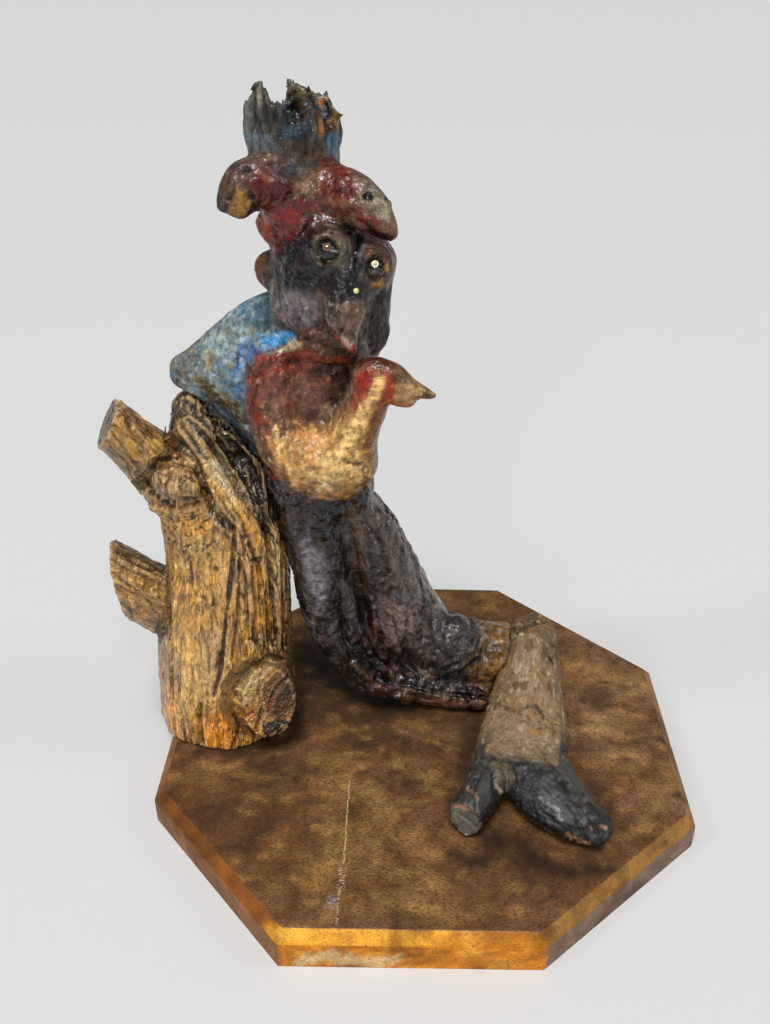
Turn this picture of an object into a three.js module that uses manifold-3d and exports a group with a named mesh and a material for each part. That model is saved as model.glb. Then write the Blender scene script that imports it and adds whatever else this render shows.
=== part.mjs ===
import * as THREE from 'three';
import Module from 'manifold-3d';

// Rootwood folk carving: a creature grown out of one forked root leans back on a bark-covered stump.
// Its shin and feet are a second root, and all of it stands on a sawn octagonal board.
// Millimetres, +Z up, origin at the centre of the board's underside, +X to the figure's feet side.

const wasm = await Module();
wasm.setup();

// Driving dimensions
const BOARD_ACROSS = 350;
const BOARD_THICK = 25;
const CHAMFER = 6.4;
const JOINT_GAP = 0.3;
const EYE_RADIUS = 5;
const NOSE_BEAD_RADIUS = 1.8;

const BOARD_TOP = BOARD_THICK;
const STANDING = BOARD_TOP + JOINT_GAP;
const AWAY = new THREE.Vector3(0, 1, 0);
const UP = new THREE.Vector3(0, 0, 1);
const LEFTWARD = new THREE.Vector3(-1, 0, 0);
const TURN = 2 * Math.PI;

// Paint and wood, as the photograph shows them
const boardWood = new THREE.MeshStandardMaterial({ color: 0x7d5a34, roughness: 0.55, metalness: 0 });
const stumpWood = new THREE.MeshStandardMaterial({ color: 0xa06f33, roughness: 0.5, metalness: 0 });
const paintedRoot = new THREE.MeshStandardMaterial({ color: 0x3a3031, roughness: 0.45, metalness: 0 });
const bareRoot = new THREE.MeshStandardMaterial({ color: 0x7c6a52, roughness: 0.6, metalness: 0 });
const clearBead = new THREE.MeshStandardMaterial({ color: 0x8a8064, roughness: 0.08, metalness: 0 });
const yellowBead = new THREE.MeshStandardMaterial({ color: 0xd8d27a, roughness: 0.2, metalness: 0 });

// Solids

function solidOf(geometry) {
  const vertProperties = new Float32Array(geometry.getAttribute('position').array);
  const triVerts = new Uint32Array(geometry.getIndex().array);
  return new wasm.Manifold(new wasm.Mesh({ numProp: 3, vertProperties, triVerts }));
}

function joined(solids) {
  return solids.reduce((whole, next) => whole.add(next));
}

function geometryOf(solid) {
  const mesh = solid.getMesh();
  const points = new Float32Array(mesh.numVert * 3);
  for (let v = 0; v < mesh.numVert; v += 1) {
    for (let k = 0; k < 3; k += 1) points[3 * v + k] = mesh.vertProperties[mesh.numProp * v + k];
  }
  const geometry = new THREE.BufferGeometry();
  geometry.setAttribute('position', new THREE.BufferAttribute(points, 3));
  geometry.setIndex(new THREE.BufferAttribute(new Uint32Array(mesh.triVerts), 1));
  geometry.computeVertexNormals();
  return geometry;
}

function named(name, geometry, material) {
  const mesh = new THREE.Mesh(geometry, material);
  mesh.name = name;
  return mesh;
}

// A limb is a stack of oval rings along a smooth centre line.
// Each station is [x, y, z, half width, half depth]; the depth is measured along depthAxis.
// An end is 'round' (domed), or 'sawn' (cut flat). With squareTo, every ring stays square to one direction.
function limb(stations, options = {}) {
  const { depthAxis = AWAY, sides = 12, steps = 2 * (stations.length - 1) } = options;
  const { ends = ['round', 'round'], flutes = 0, fluteDepth = 0, grown = 0, squareTo = null } = options;
  const line = new THREE.CatmullRomCurve3(stations.map((s) => new THREE.Vector3(s[0], s[1], s[2])));
  const girth = new THREE.CatmullRomCurve3(stations.map((s) => new THREE.Vector3(s[3], s[4], 0)));
  const heading = (u) => squareTo ?? line.getTangent(u);
  const rings = [];

  function ring(centre, tangent, wide, deep, phase) {
    const across = new THREE.Vector3().crossVectors(tangent, depthAxis).normalize();
    const back = new THREE.Vector3().crossVectors(across, tangent).normalize();
    const points = [];
    for (let k = 0; k < sides; k += 1) {
      const angle = (TURN * k) / sides;
      const swell = 1 + fluteDepth * Math.cos(flutes * angle + phase);
      points.push(centre.clone()
        .addScaledVector(across, Math.cos(angle) * swell * (wide + grown))
        .addScaledVector(back, Math.sin(angle) * swell * (deep + grown)));
    }
    return points;
  }

  function dome(u, outward) {
    const centre = line.getPoint(u);
    const tangent = heading(u);
    const size = girth.getPoint(u);
    const reach = Math.min(size.x, size.y) * 0.8 + grown;
    const caps = [];
    for (const lift of [0.55, 0.87]) {
      const shrink = Math.sqrt(1 - lift * lift);
      const at = centre.clone().addScaledVector(tangent, outward * lift * reach);
      caps.push(ring(at, tangent, size.x * shrink, size.y * shrink, 0));
    }
    return { caps, pole: centre.clone().addScaledVector(tangent, outward * reach) };
  }

  for (let i = 0; i <= steps; i += 1) {
    const u = i / steps;
    const size = girth.getPoint(u);
    rings.push(ring(line.getPoint(u), heading(u), size.x, size.y, 2 * u));
  }
  let firstPole = line.getPoint(0);
  let lastPole = line.getPoint(1);
  if (ends[0] === 'round') {
    const start = dome(0, -1);
    rings.unshift(start.caps[1], start.caps[0]);
    firstPole = start.pole;
  }
  if (ends[1] === 'round') {
    const finish = dome(1, 1);
    rings.push(finish.caps[0], finish.caps[1]);
    lastPole = finish.pole;
  }

  const points = [...rings.flat(), firstPole, lastPole];
  const first = points.length - 2;
  const last = points.length - 1;
  const triangles = [];
  for (let r = 0; r < rings.length - 1; r += 1) {
    for (let k = 0; k < sides; k += 1) {
      const a = r * sides + k;
      const b = r * sides + ((k + 1) % sides);
      triangles.push(a, b, b + sides, a, b + sides, a + sides);
    }
  }
  const top = (rings.length - 1) * sides;
  for (let k = 0; k < sides; k += 1) {
    const next = (k + 1) % sides;
    triangles.push(next, k, first);
    triangles.push(top + k, top + next, last);
  }
  return solidOf(facingOut(points, triangles));
}

function facingOut(points, triangles) {
  let volume = 0;
  for (let t = 0; t < triangles.length; t += 3) {
    const [a, b, c] = [points[triangles[t]], points[triangles[t + 1]], points[triangles[t + 2]]];
    volume += a.dot(new THREE.Vector3().crossVectors(b, c));
  }
  const turned = volume < 0 ? [...triangles].reverse() : triangles;
  const geometry = new THREE.BufferGeometry().setFromPoints(points);
  geometry.setIndex(turned);
  return geometry;
}

// A ball scaled to its three half sizes and turned about the Y axis
function ballGeometry(centre, half, turnY = 0, detail = 10) {
  const ball = weld(new THREE.SphereGeometry(1, detail, Math.round(detail * 0.7)));
  ball.scale(...half);
  ball.rotateY(turnY);
  ball.translate(...centre);
  return ball;
}

const lump = (...shape) => solidOf(ballGeometry(...shape));

function weld(geometry) {
  const position = geometry.getAttribute('position');
  const index = geometry.getIndex();
  const keys = new Map();
  const points = [];
  const place = [];
  for (let v = 0; v < position.count; v += 1) {
    const p = new THREE.Vector3().fromBufferAttribute(position, v);
    const key = p.toArray().map((c) => Math.round(c * 1e4)).join();
    if (!keys.has(key)) {
      keys.set(key, points.length);
      points.push(p);
    }
    place.push(keys.get(key));
  }
  const triangles = [];
  for (let t = 0; t < index.count; t += 3) {
    const corner = [0, 1, 2].map((k) => place[index.getX(t + k)]);
    if (new Set(corner).size === 3) triangles.push(...corner);
  }
  return facingOut(points, triangles);
}

// A big block whose near face passes through a point, for sawn and broken-off surfaces.
function sawnOff(solid, point, normal) {
  const size = 400;
  const block = weld(new THREE.BoxGeometry(size, size, size));
  const out = new THREE.Vector3(...normal).normalize();
  block.applyQuaternion(new THREE.Quaternion().setFromUnitVectors(UP, out));
  block.translate(...new THREE.Vector3(...point).addScaledVector(out, size / 2).toArray());
  return solid.subtract(solidOf(block));
}

const standing = (solid) => sawnOff(solid, [0, 0, STANDING], [0, 0, -1]);

// The board: a hand-sawn octagon, a few millimetres out of true, with a chamfered upper edge
const CORNERS = [
  [-0.489, -0.206], [-0.219, -0.499], [0.210, -0.487], [0.506, -0.223],
  [0.506, 0.206], [0.194, 0.504], [-0.206, 0.498], [-0.503, 0.206],
].map(([x, y]) => new THREE.Vector2(x, y).multiplyScalar(BOARD_ACROSS));

function insetCorner(corners, k, inset) {
  const before = corners[(k + 7) % 8];
  const here = corners[k];
  const after = corners[(k + 1) % 8];
  const into = here.clone().sub(before).normalize();
  const onward = after.clone().sub(here).normalize();
  const half = Math.acos(into.dot(onward)) / 2;
  const inward = onward.clone().sub(into).normalize();
  return here.clone().addScaledVector(inward, inset / Math.cos(half));
}

function boardGeometry() {
  const levels = [[0, 0], [0, BOARD_THICK - CHAMFER], [CHAMFER, BOARD_THICK]];
  const points = levels.flatMap(([inset, z]) => CORNERS.map((corner, k) => {
    const p = inset ? insetCorner(CORNERS, k, inset) : corner;
    return new THREE.Vector3(p.x, p.y, z);
  }));
  const triangles = [];
  for (let k = 0; k < 8; k += 1) {
    const next = (k + 1) % 8;
    for (const low of [0, 8]) {
      triangles.push(low + k, low + next, low + next + 8, low + k, low + next + 8, low + k + 8);
    }
  }
  for (let k = 1; k < 7; k += 1) triangles.push(0, k + 1, k, 16, 16 + k, 17 + k);
  return facingOut(points, triangles);
}

// The stump: a forked trunk with two branch stubs, a sawn side branch and a torn-open top
function stumpSolid(grown = 0) {
  const bark = { sides: 18, flutes: 7, fluteDepth: 0.03, grown };
  const trunk = limb([
    [-138, 12, 24, 48, 45],
    [-136, 12, 72, 47, 43],
    [-131, 12, 119, 44, 40],
    [-127, 12, 152, 41, 37],
    [-131, 13, 184, 38, 34],
    [-132, 14, 206, 35, 30],
    [-133, 17, 226, 31, 25],
    [-138, 20, 244, 23, 19],
    [-143, 22, 258, 14, 13],
  ], { ...bark, steps: 16, ends: ['sawn', 'round'] });
  const upperBranch = limb([
    [-146, 8, 200, 26, 20],
    [-164, 5, 224, 21, 17],
    [-177, 0, 243, 16.5, 15],
    [-190, -5, 261, 15.5, 14],
  ], { sides: 12, grown, ends: ['round', 'sawn'] });
  const lowerBranch = limb([
    [-150, 11, 104, 26, 22],
    [-176, 9, 122, 24, 20],
    [-190, 6, 133, 23, 19],
    [-222, 2, 159, 22, 18],
  ], { sides: 12, grown, ends: ['round', 'sawn'] });
  const sideBranch = limb([
    [-114, 2, 58, 24, 30],
    [-104, -18, 64, 21, 28],
    [-99, -30, 67, 18, 26],
  ], { depthAxis: UP, sides: 14, grown, ends: ['round', 'sawn'] });
  const burr = lump([-147, -14, 222], [17, 12, 11], 0.3);
  const whole = joined([trunk, upperBranch, lowerBranch, sideBranch, burr]);
  const rot = lump([-112, -6, 226], [13, 19, 34], -0.62);
  const torn = sawnOff(whole, [-112, 20, 235], [0.75, 0.06, 0.66]).subtract(rot);
  const stubbed = sawnOff(torn, [-199, 0, 150], [-1, -0.05, -0.1]);
  return standing(sawnOff(stubbed, [-188, -5, 257], [-0.83, -0.3, 0.47]));
}

// The creature, from its thighs up to the splintered root end on its head
function legsSolid() {
  const nearThigh = limb([
    [-78, 20, 216, 27, 24],
    [-74, 20, 195, 24, 24],
    [-68, 21, 164, 21, 24],
    [-63, 23, 131, 22.5, 24],
    [-58, 25, 96, 21.5, 23],
    [-43, 25, 62, 19, 20],
    [-20, 24, 45, 14, 15],
    [10, 21, 38, 11, 11],
    [46, 19, 34, 8, 8],
  ], { sides: 12, steps: 14 });
  const farThigh = limb([
    [-58, 28, 214, 20, 24],
    [-54, 31, 192, 19, 25],
    [-46, 34, 170, 22, 26],
    [-32, 38, 138, 26, 28],
    [-21, 42, 106, 28, 28],
    [-7, 43, 81, 28, 26],
    [11, 42, 66, 25, 23],
    [27, 41, 64, 21, 21],
  ], { sides: 12, steps: 10 });
  const bareKnee = limb([
    [10, 46, 54, 27, 26],
    [38, 46, 53, 26, 25],
    [64, 44, 52, 26, 24],
  ], { sides: 12, ends: ['round', 'sawn'] });
  const knob = lump([22, 36, 66], [20, 22, 25], 0.2, 12);
  return joined([nearThigh, farThigh, knob, bareKnee]);
}

function trunkSolid() {
  const torso = limb([
    [-66, 26, 194, 34, 27],
    [-68, 22, 235, 35, 26],
    [-68, 14, 275, 33, 26],
    [-58, 6, 310, 31, 27],
  ], { sides: 12, steps: 6 });
  const shoulder = limb([
    [-76, 14, 284, 55, 24],
    [-97, 14, 285, 45, 21],
    [-114, 16, 284, 36, 18],
    [-126, 18, 282, 27, 15],
    [-137, 20, 280, 19, 12],
    [-148, 20, 280, 11, 8],
  ], { sides: 12, steps: 8, squareTo: LEFTWARD });
  return joined([torso, shoulder]);
}

function beakedArmSolid() {
  const upperArm = limb([
    [-86, -8, 302, 16, 18],
    [-87, -14, 280, 17, 18],
    [-79, -20, 258, 20, 19],
    [-62, -24, 244, 23, 20],
    [-48, -25, 242, 22.5, 20],
  ], { sides: 12, steps: 10 });
  const neck = limb([
    [-46, -26, 246, 20, 19],
    [-41, -29, 266, 15, 14],
    [-34, -33, 283, 12.5, 12.5],
    [-28, -36, 300, 11.5, 12],
  ], { sides: 12 });
  const armpit = lump([-64, -6, 280], [24, 19, 30]);
  const birdHead = limb([
    [-32, -36, 302, 11, 11],
    [-20, -39, 301, 11, 10],
    [-11, -41, 297.5, 7, 6.5],
    [-3, -43, 296, 3.6, 3.4],
    [3, -44, 294.5, 1.6, 1.6],
  ], { sides: 10 });
  const lowerJaw = lump([-15, -42, 291.5], [10, 6, 5], 0.25);
  return joined([upperArm, neck, armpit, birdHead, lowerJaw]);
}

function headSolid() {
  const skull = limb([
    [-57, 6, 296, 29, 28],
    [-56, 2, 318, 34, 32],
    [-54, 0, 340, 34, 33],
    [-52, 0, 357, 34.5, 31],
    [-57, 3, 372, 26, 25],
  ], { sides: 16, steps: 8, squareTo: UP });
  const beak = limb([
    [-42, -26, 354, 14, 10],
    [-44, -32, 340, 13, 9],
    [-44, -35, 326, 9, 7],
    [-40, -34, 316, 3, 3],
  ], { sides: 10 });
  const leftRim = lump([-52, -25, 366], [13, 13, 13]);
  const rightRim = lump([-30, -25, 357], [11.5, 13, 13]);
  const cheek = lump([-33, 4, 314], [12, 14, 16]);
  const ear = lump([-87, 5, 346], [10, 8, 12]);
  const lobe = lump([-86, -3, 371], [6, 6, 10], -0.4);
  return joined([skull, beak, leftRim, rightRim, cheek, ear, lobe]);
}

function twoBirdsSolid() {
  const leftBird = limb([
    [-60, -2, 391, 14, 15],
    [-72, -5, 395, 14, 14],
    [-84, -11, 396, 14.8, 13.5],
    [-94, -18, 395, 13.5, 12.5],
    [-101, -24, 391, 9, 9],
    [-105.5, -28, 387, 3.5, 3],
  ], { sides: 12 });
  const rightBird = limb([
    [-66, -2, 389, 14, 15],
    [-55, -6, 391, 13.5, 14],
    [-45, -11, 390, 14, 13],
    [-36, -17, 387, 12.8, 12.4],
    [-27, -23, 381, 9.4, 9],
    [-20, -27, 374.5, 4, 3.5],
  ], { sides: 12 });
  const fork = lump([-64, -8, 388], [15, 12, 13]);
  const throat = lump([-76, -8, 382], [13, 11, 12], 0.5);
  return joined([leftBird, rightBird, fork, throat]);
}

// Rim of the splintered crown: bearing in degrees (0 is +X, 90 is away) and height of the torn edge
const CROWN_RIM = [
  [0, 427], [30, 428], [43, 434], [70, 436], [82, 438], [91, 439], [98, 443.5], [103, 440], [108, 430],
  [150, 427], [180, 433], [218, 434], [228, 442], [238, 446], [246, 439], [253, 426], [257, 436],
  [265, 436], [277, 424], [293, 434], [307, 436], [314, 424], [335, 427], [350, 429], [360, 427],
];

function rimHeight(degrees) {
  const k = CROWN_RIM.findIndex((entry) => entry[0] > degrees) - 1;
  const [from, low] = CROWN_RIM[k];
  const [to, high] = CROWN_RIM[k + 1];
  return low + ((high - low) * (degrees - from)) / (to - from);
}

function crownSolid() {
  const sides = 36;
  const centre = new THREE.Vector2(-71.5, 2);
  const walls = [
    [20, () => 386],
    [23.5, () => 404],
    [25.5, () => 418],
    [24.5, (d) => rimHeight(d)],
    [20.5, (d) => rimHeight(d) - 1],
    [15, () => 414],
  ];
  const points = walls.flatMap(([radius, height]) => Array.from({ length: sides }, (_, k) => {
    const angle = (TURN * k) / sides;
    const z = height((360 * k) / sides);
    return new THREE.Vector3(centre.x + radius * Math.cos(angle), centre.y + 0.9 * radius * Math.sin(angle), z);
  }));
  points.push(new THREE.Vector3(centre.x, centre.y, 384), new THREE.Vector3(centre.x, centre.y, 409));
  const triangles = [];
  for (let r = 0; r < walls.length - 1; r += 1) {
    for (let k = 0; k < sides; k += 1) {
      const a = r * sides + k;
      const b = r * sides + ((k + 1) % sides);
      triangles.push(a, b, b + sides, a, b + sides, a + sides);
    }
  }
  const inner = (walls.length - 1) * sides;
  for (let k = 0; k < sides; k += 1) {
    const next = (k + 1) % sides;
    triangles.push(next, k, points.length - 2, inner + k, inner + next, points.length - 1);
  }
  return solidOf(facingOut(points, triangles));
}

const EYES = {
  left: [-51.6, -35, 367.6],
  right: [-27.9, -35, 359.3],
};
const NOSE_BEAD = [-37.9, -36, 347.8];
const BEAD_FACETS = 12;

function bead(centre, radius) {
  return ballGeometry(centre, [radius, radius, radius], 0, BEAD_FACETS);
}

function creatureSolid() {
  const whole = joined([legsSolid(), trunkSolid(), beakedArmSolid(), headSolid(), twoBirdsSolid(), crownSolid()]);
  const eyed = [
    bead(EYES.left, EYE_RADIUS + JOINT_GAP),
    bead(EYES.right, EYE_RADIUS + JOINT_GAP),
    bead(NOSE_BEAD, NOSE_BEAD_RADIUS + JOINT_GAP),
  ].reduce((solid, hole) => solid.subtract(solidOf(hole)), whole);
  return standing(eyed.subtract(stumpSolid(JOINT_GAP)).subtract(shinSolid(JOINT_GAP)));
}

// The shin and the two painted feet: a second root, lying on the board
function shinSolid(grown = 0) {
  const shin = limb([
    [86, 76, 50, 18, 17],
    [81, 44, 48, 22, 21],
    [76, 10, 45, 25, 20],
    [73, -16, 44, 28, 20],
    [69, -38, 43, 29.5, 18],
    [64, -54, 42, 29, 15],
  ], { depthAxis: UP, sides: 16, steps: 12, grown });
  const smallFoot = limb([
    [50, -50, 42, 15, 14],
    [44, -68, 41, 13.5, 13],
    [36, -84, 39, 12.5, 12],
    [27, -102, 37, 11, 10],
  ], { depthAxis: UP, sides: 10, grown, ends: ['round', 'sawn'] });
  const bigFoot = limb([
    [72, -46, 41, 24, 16],
    [78, -66, 41, 24.5, 15],
    [88, -81, 39, 21.5, 14],
    [100, -92, 37, 17.5, 12],
    [111, -99, 35, 12, 9],
  ], { depthAxis: UP, sides: 12, steps: 10, grown });
  const cut = sawnOff(smallFoot, [27, -96, 36], [-0.5, -0.82, 0.28]);
  return standing(joined([shin, cut, bigFoot]));
}

const stump = stumpSolid();
const shin = shinSolid();
const creature = creatureSolid();

const carving = new THREE.Group();
carving.add(
  named('plinth_board', boardGeometry(), boardWood),
  named('stump', geometryOf(stump), stumpWood),
  named('root_creature', geometryOf(creature), paintedRoot),
  named('shin_root', geometryOf(shin), bareRoot),
  named('eye_bead_left', bead(EYES.left, EYE_RADIUS), clearBead),
  named('eye_bead_right', bead(EYES.right, EYE_RADIUS), clearBead),
  named('nose_bead', bead(NOSE_BEAD, NOSE_BEAD_RADIUS), yellowBead),
);

export default carving;
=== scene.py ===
# %% [markdown]
# # A rootwood folk carving
# Roots that already look like animals are dug up, trimmed, painted and varnished, and set on a
# board. The exact frame gives the true outlines. Here each wooden piece is roughed out from its
# solid as fine clay-like mesh, carved with strokes as a carver would, painted in thin layers
# and varnished.

# %% The frame
import math
from itertools import product

import bmesh
import bpy
import numpy as np
from mathutils import Matrix, Vector


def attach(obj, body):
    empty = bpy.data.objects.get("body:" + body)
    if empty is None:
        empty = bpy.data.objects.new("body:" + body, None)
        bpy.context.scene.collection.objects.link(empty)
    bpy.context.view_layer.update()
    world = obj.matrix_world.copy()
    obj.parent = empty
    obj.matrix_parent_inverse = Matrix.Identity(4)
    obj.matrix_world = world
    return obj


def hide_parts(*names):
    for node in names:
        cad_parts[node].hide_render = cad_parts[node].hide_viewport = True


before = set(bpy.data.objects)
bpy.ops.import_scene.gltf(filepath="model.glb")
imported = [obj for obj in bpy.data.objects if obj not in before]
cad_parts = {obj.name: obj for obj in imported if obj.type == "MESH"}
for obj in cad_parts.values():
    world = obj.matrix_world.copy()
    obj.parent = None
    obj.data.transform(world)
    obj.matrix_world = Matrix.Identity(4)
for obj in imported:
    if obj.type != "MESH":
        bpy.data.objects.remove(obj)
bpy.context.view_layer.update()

MM = 0.001


def stand(name, data):
    """Puts a new object into the scene."""
    made = bpy.data.objects.new(name, data)
    bpy.context.scene.collection.objects.link(made)
    return made


# %% [markdown]
# ## The viewpoint
# The camera stands half a metre in front and half a metre up, looking 30 degrees down. The same
# viewpoint serves as the carver's eye: strokes are drawn in picture positions (across, down) and
# reach only the wood that faces that way. The back and sides are carved and painted by place.

# %% The viewpoint
PICTURE = (770, 1024)
FOCAL = 955.2
SENSOR = 36
CAMERA_PLACE = np.array([-2.79, -512.49, 492.41])
TURNED, TILTED, ROLLED = map(math.radians, (2.3845, 29.882, 0.19))

camera = stand("camera", bpy.data.cameras.new("camera"))
camera.data.lens = SENSOR * FOCAL / PICTURE[1]
camera.data.clip_start = 0.01
camera.matrix_world = (
    Matrix.Translation(CAMERA_PLACE * MM)
    @ Matrix.Rotation(TURNED, 4, "Z")
    @ Matrix.Rotation(math.pi / 2 - TILTED, 4, "X")
    @ Matrix.Rotation(ROLLED, 4, "Z")
)
bpy.context.scene.camera = camera
RIGHT, UP, BACK = (np.array(camera.matrix_world.col[k][:3]) for k in range(3))
print("lens", round(camera.data.lens, 2), "mm")

# %% [markdown]
# ## Wood grain and lumps
# Every carved surface needs irregularity that repeats nowhere. Smooth random values on a
# lattice, mixed at a few sizes, give it. The seed makes each run the same.


# %% Wood grain and lumps
LATTICE = 32


def lumps(places, size, seed):
    """Smooth random values from -1 to 1 at places in mm; size is one lump's, or one for each axis."""
    lattice = np.random.default_rng(seed).random((LATTICE,) * 3) * 2 - 1
    scaled = places / np.asarray(size, float)
    corner = np.floor(scaled).astype(int)
    t = scaled - corner
    t = t * t * (3 - 2 * t)
    sides = [((1 - part, at % LATTICE), (part, (at + 1) % LATTICE)) for part, at in zip(t.T, corner.T)]
    value = np.zeros(len(places))
    for (u, x), (v, y), (w, z) in product(*sides):
        value += u * v * w * lattice[x, y, z]
    return value


def rumple(places, size, seed, layers=3):
    """Lumps with finer lumps on them."""
    size = np.asarray(size, float)
    mixed = sum(lumps(places, size / 2**k, seed + k) / 2**k for k in range(layers))
    return mixed / sum(0.5**k for k in range(layers))


def cracks(places, size, seed):
    """0 on open wood, rising to 1 along wandering thin lines."""
    return np.clip(1 - np.abs(rumple(places, size, seed, 2)) * 5, 0, 1)


def ease(value, low, high):
    """A smooth step from 0 at low to 1 at high."""
    t = np.clip((value - low) / (high - low), 0, 1)
    return t * t * (3 - 2 * t)


print("lumps at three places", lumps(np.array([[0, 0, 0], [3, 0, 0], [6, 0, 0]]), 10, 1).round(2))

# %% [markdown]
# ## Colour
# Paint colours are written as they look on screen and turned into the linear light that the
# renderer works with. A few short functions then build the finishes from nodes.


# %% Colour
def colour(hex_code):
    """sRGB hex to linear red, green, blue."""
    parts = [int(hex_code[k : k + 2], 16) / 255 for k in (1, 3, 5)]
    return np.array([p / 12.92 if p <= 0.04045 else ((p + 0.055) / 1.055) ** 2.4 for p in parts])


def settle(made, settings):
    """Gives a node its attributes, input values and colours, and links the inputs given a socket."""
    for key, value in settings.items():
        if isinstance(value, bpy.types.NodeSocket):
            made.id_data.links.new(value, made.inputs[key])
        elif isinstance(key, str) and hasattr(made, key):
            setattr(made, key, value)
        elif isinstance(value, str) and value.startswith("#"):
            made.inputs[key].default_value = (*colour(value), 1)
        else:
            made.inputs[key].default_value = value


def node(tree, kind, settings, output=0):
    """Adds one node with its settings and links, and hands back one of its outputs."""
    made = tree.nodes.new(kind)
    settle(made, settings)
    return made.outputs[output]


def new_material(name):
    material = bpy.data.materials.new(name)
    material.use_nodes = True
    tree = material.node_tree
    tree.nodes.clear()
    surface = tree.nodes.new("ShaderNodeBsdfPrincipled")
    settle(tree.nodes.new("ShaderNodeOutputMaterial"), {"Surface": surface.outputs["BSDF"]})
    return material, tree, surface


def object_place(tree):
    return node(tree, "ShaderNodeTexCoord", {}, "Object")


def layer(tree, name, output="Fac"):
    """What a layer that is kept on the mesh's points says."""
    return node(tree, "ShaderNodeAttribute", {"attribute_name": name}, output)


def maths(tree, operation, *values):
    return node(tree, "ShaderNodeMath", {"operation": operation, **dict(enumerate(values))})


def noise(tree, place, scale, detail, rough=0.5, **more):
    settings = {"Vector": place, "Scale": scale, "Detail": detail, "Roughness": rough, **more}
    return node(tree, "ShaderNodeTexNoise", settings)


def stretch(tree, place, *scale):
    return node(tree, "ShaderNodeMapping", {"Vector": place, "Scale": scale})


def span(tree, value, low, high, first=0, last=1):
    """Turns the range low to high into first to last, and goes no further."""
    ends = {"From Min": low, "From Max": high, "To Min": first, "To Max": last}
    return node(tree, "ShaderNodeMapRange", {"Value": value, **ends})


def bump(tree, height, strength, distance, **below):
    """Relief in the light only, over the Normal of a broader one if that is given."""
    settings = {"Height": height, "Strength": strength, "Distance": distance, **below}
    return node(tree, "ShaderNodeBump", settings)


def over(tree, share, below, above):
    """Paints one colour over another."""
    return node(tree, "ShaderNodeMix", {"data_type": "RGBA", "Factor": share, 6: below, 7: above}, 2)


print("middle grey in linear light", colour("#808080").round(3))

# %% [markdown]
# ## Drawings
# Cuts and brush strokes are written as short drawings, a row to each: first the colour and the
# numbers that the tool takes, then its way as across,down pairs. A word that starts with o is an
# oval: across, down, radius and how tall it is for its width.


# %% Drawings
def oval(across, down, radius, squash, points=14):
    turns = [2 * math.pi * k / points for k in range(points + 1)]
    return [(across + radius * math.cos(t), down + radius * squash * math.sin(t)) for t in turns]


def drawn(text):
    """Reads a drawing: from each row its way, then its colours and numbers."""
    for row in text.strip().split("\n"):
        way, words = [], []
        for word in row.split():
            if word[0] == "o":
                way += oval(*map(float, word[1:].split(",")))
            elif "," in word:
                way.append(tuple(map(float, word.split(","))))
            else:
                words.append(word if word[0] == "#" else float(word))
        yield way, *words


def every(act, text, *more):
    """Does one act, such as a groove or a stroke, for every row of a drawing."""
    for way, *words in drawn(text):
        act(way, *words, *more)


print("a drawing of one stroke", *drawn("#8a5c30 2 0,0 5,5"))

# %% [markdown]
# ## The carving block
# A block starts as a copy of a piece's exact solid, rebuilt as an even skin of small squares.
# It is then relaxed, so the flats of the solid round off, and carved by moving its points in
# and out. Picture positions are kept for each point, so a stroke can be drawn where the eye
# sees it, and points at the back or behind something nearer stay untouched.


# %% The carving block
def evaluated(holder, name):
    """The mesh that an object's modifiers make; the object is taken away."""
    graph = bpy.context.evaluated_depsgraph_get()
    mesh = bpy.data.meshes.new_from_object(holder.evaluated_get(graph))
    mesh.name = name
    bpy.data.objects.remove(holder)
    return mesh


def even_skin(node_name, name, size):
    """A copy of an exact solid with an even skin of squares, size in mm, and no loose crumbs."""
    rough = bpy.data.meshes.new("rough")
    solid = bmesh.new()
    solid.from_mesh(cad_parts[node_name].data)
    bmesh.ops.remove_doubles(solid, verts=solid.verts, dist=1e-6)
    solid.to_mesh(rough)
    solid.free()
    holder = stand("holder", rough)
    remesh = holder.modifiers.new("even skin", "REMESH")
    remesh.mode = "VOXEL"
    remesh.voxel_size = size * MM
    mesh = evaluated(holder, name)
    bpy.data.meshes.remove(rough)
    skin = bmesh.new()
    skin.from_mesh(mesh)
    skin.verts.ensure_lookup_table()
    whole, edge = set(), {skin.verts[len(skin.verts) // 2]}
    while edge:
        whole |= edge
        edge = {link.other_vert(point) for point in edge for link in point.link_edges} - whole
    bmesh.ops.delete(skin, geom=[v for v in skin.verts if v not in whole], context="VERTS")
    skin.to_mesh(mesh)
    skin.free()
    return mesh


# %% [markdown]
# Moving a point is sculpting. The points' places are kept in one array, in mm, beside the edges
# that tell which points are neighbours, so that smoothing, grabbing and pushing work on all of
# them at once. After each bout of work, look() renews which way each point faces and where, and
# whether, the eye sees it.


# %% A block of wood
# A point is hidden if another in its small square of the picture is nearer by more than the slack.
SQUARE = 5
SLACK = 9


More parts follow.
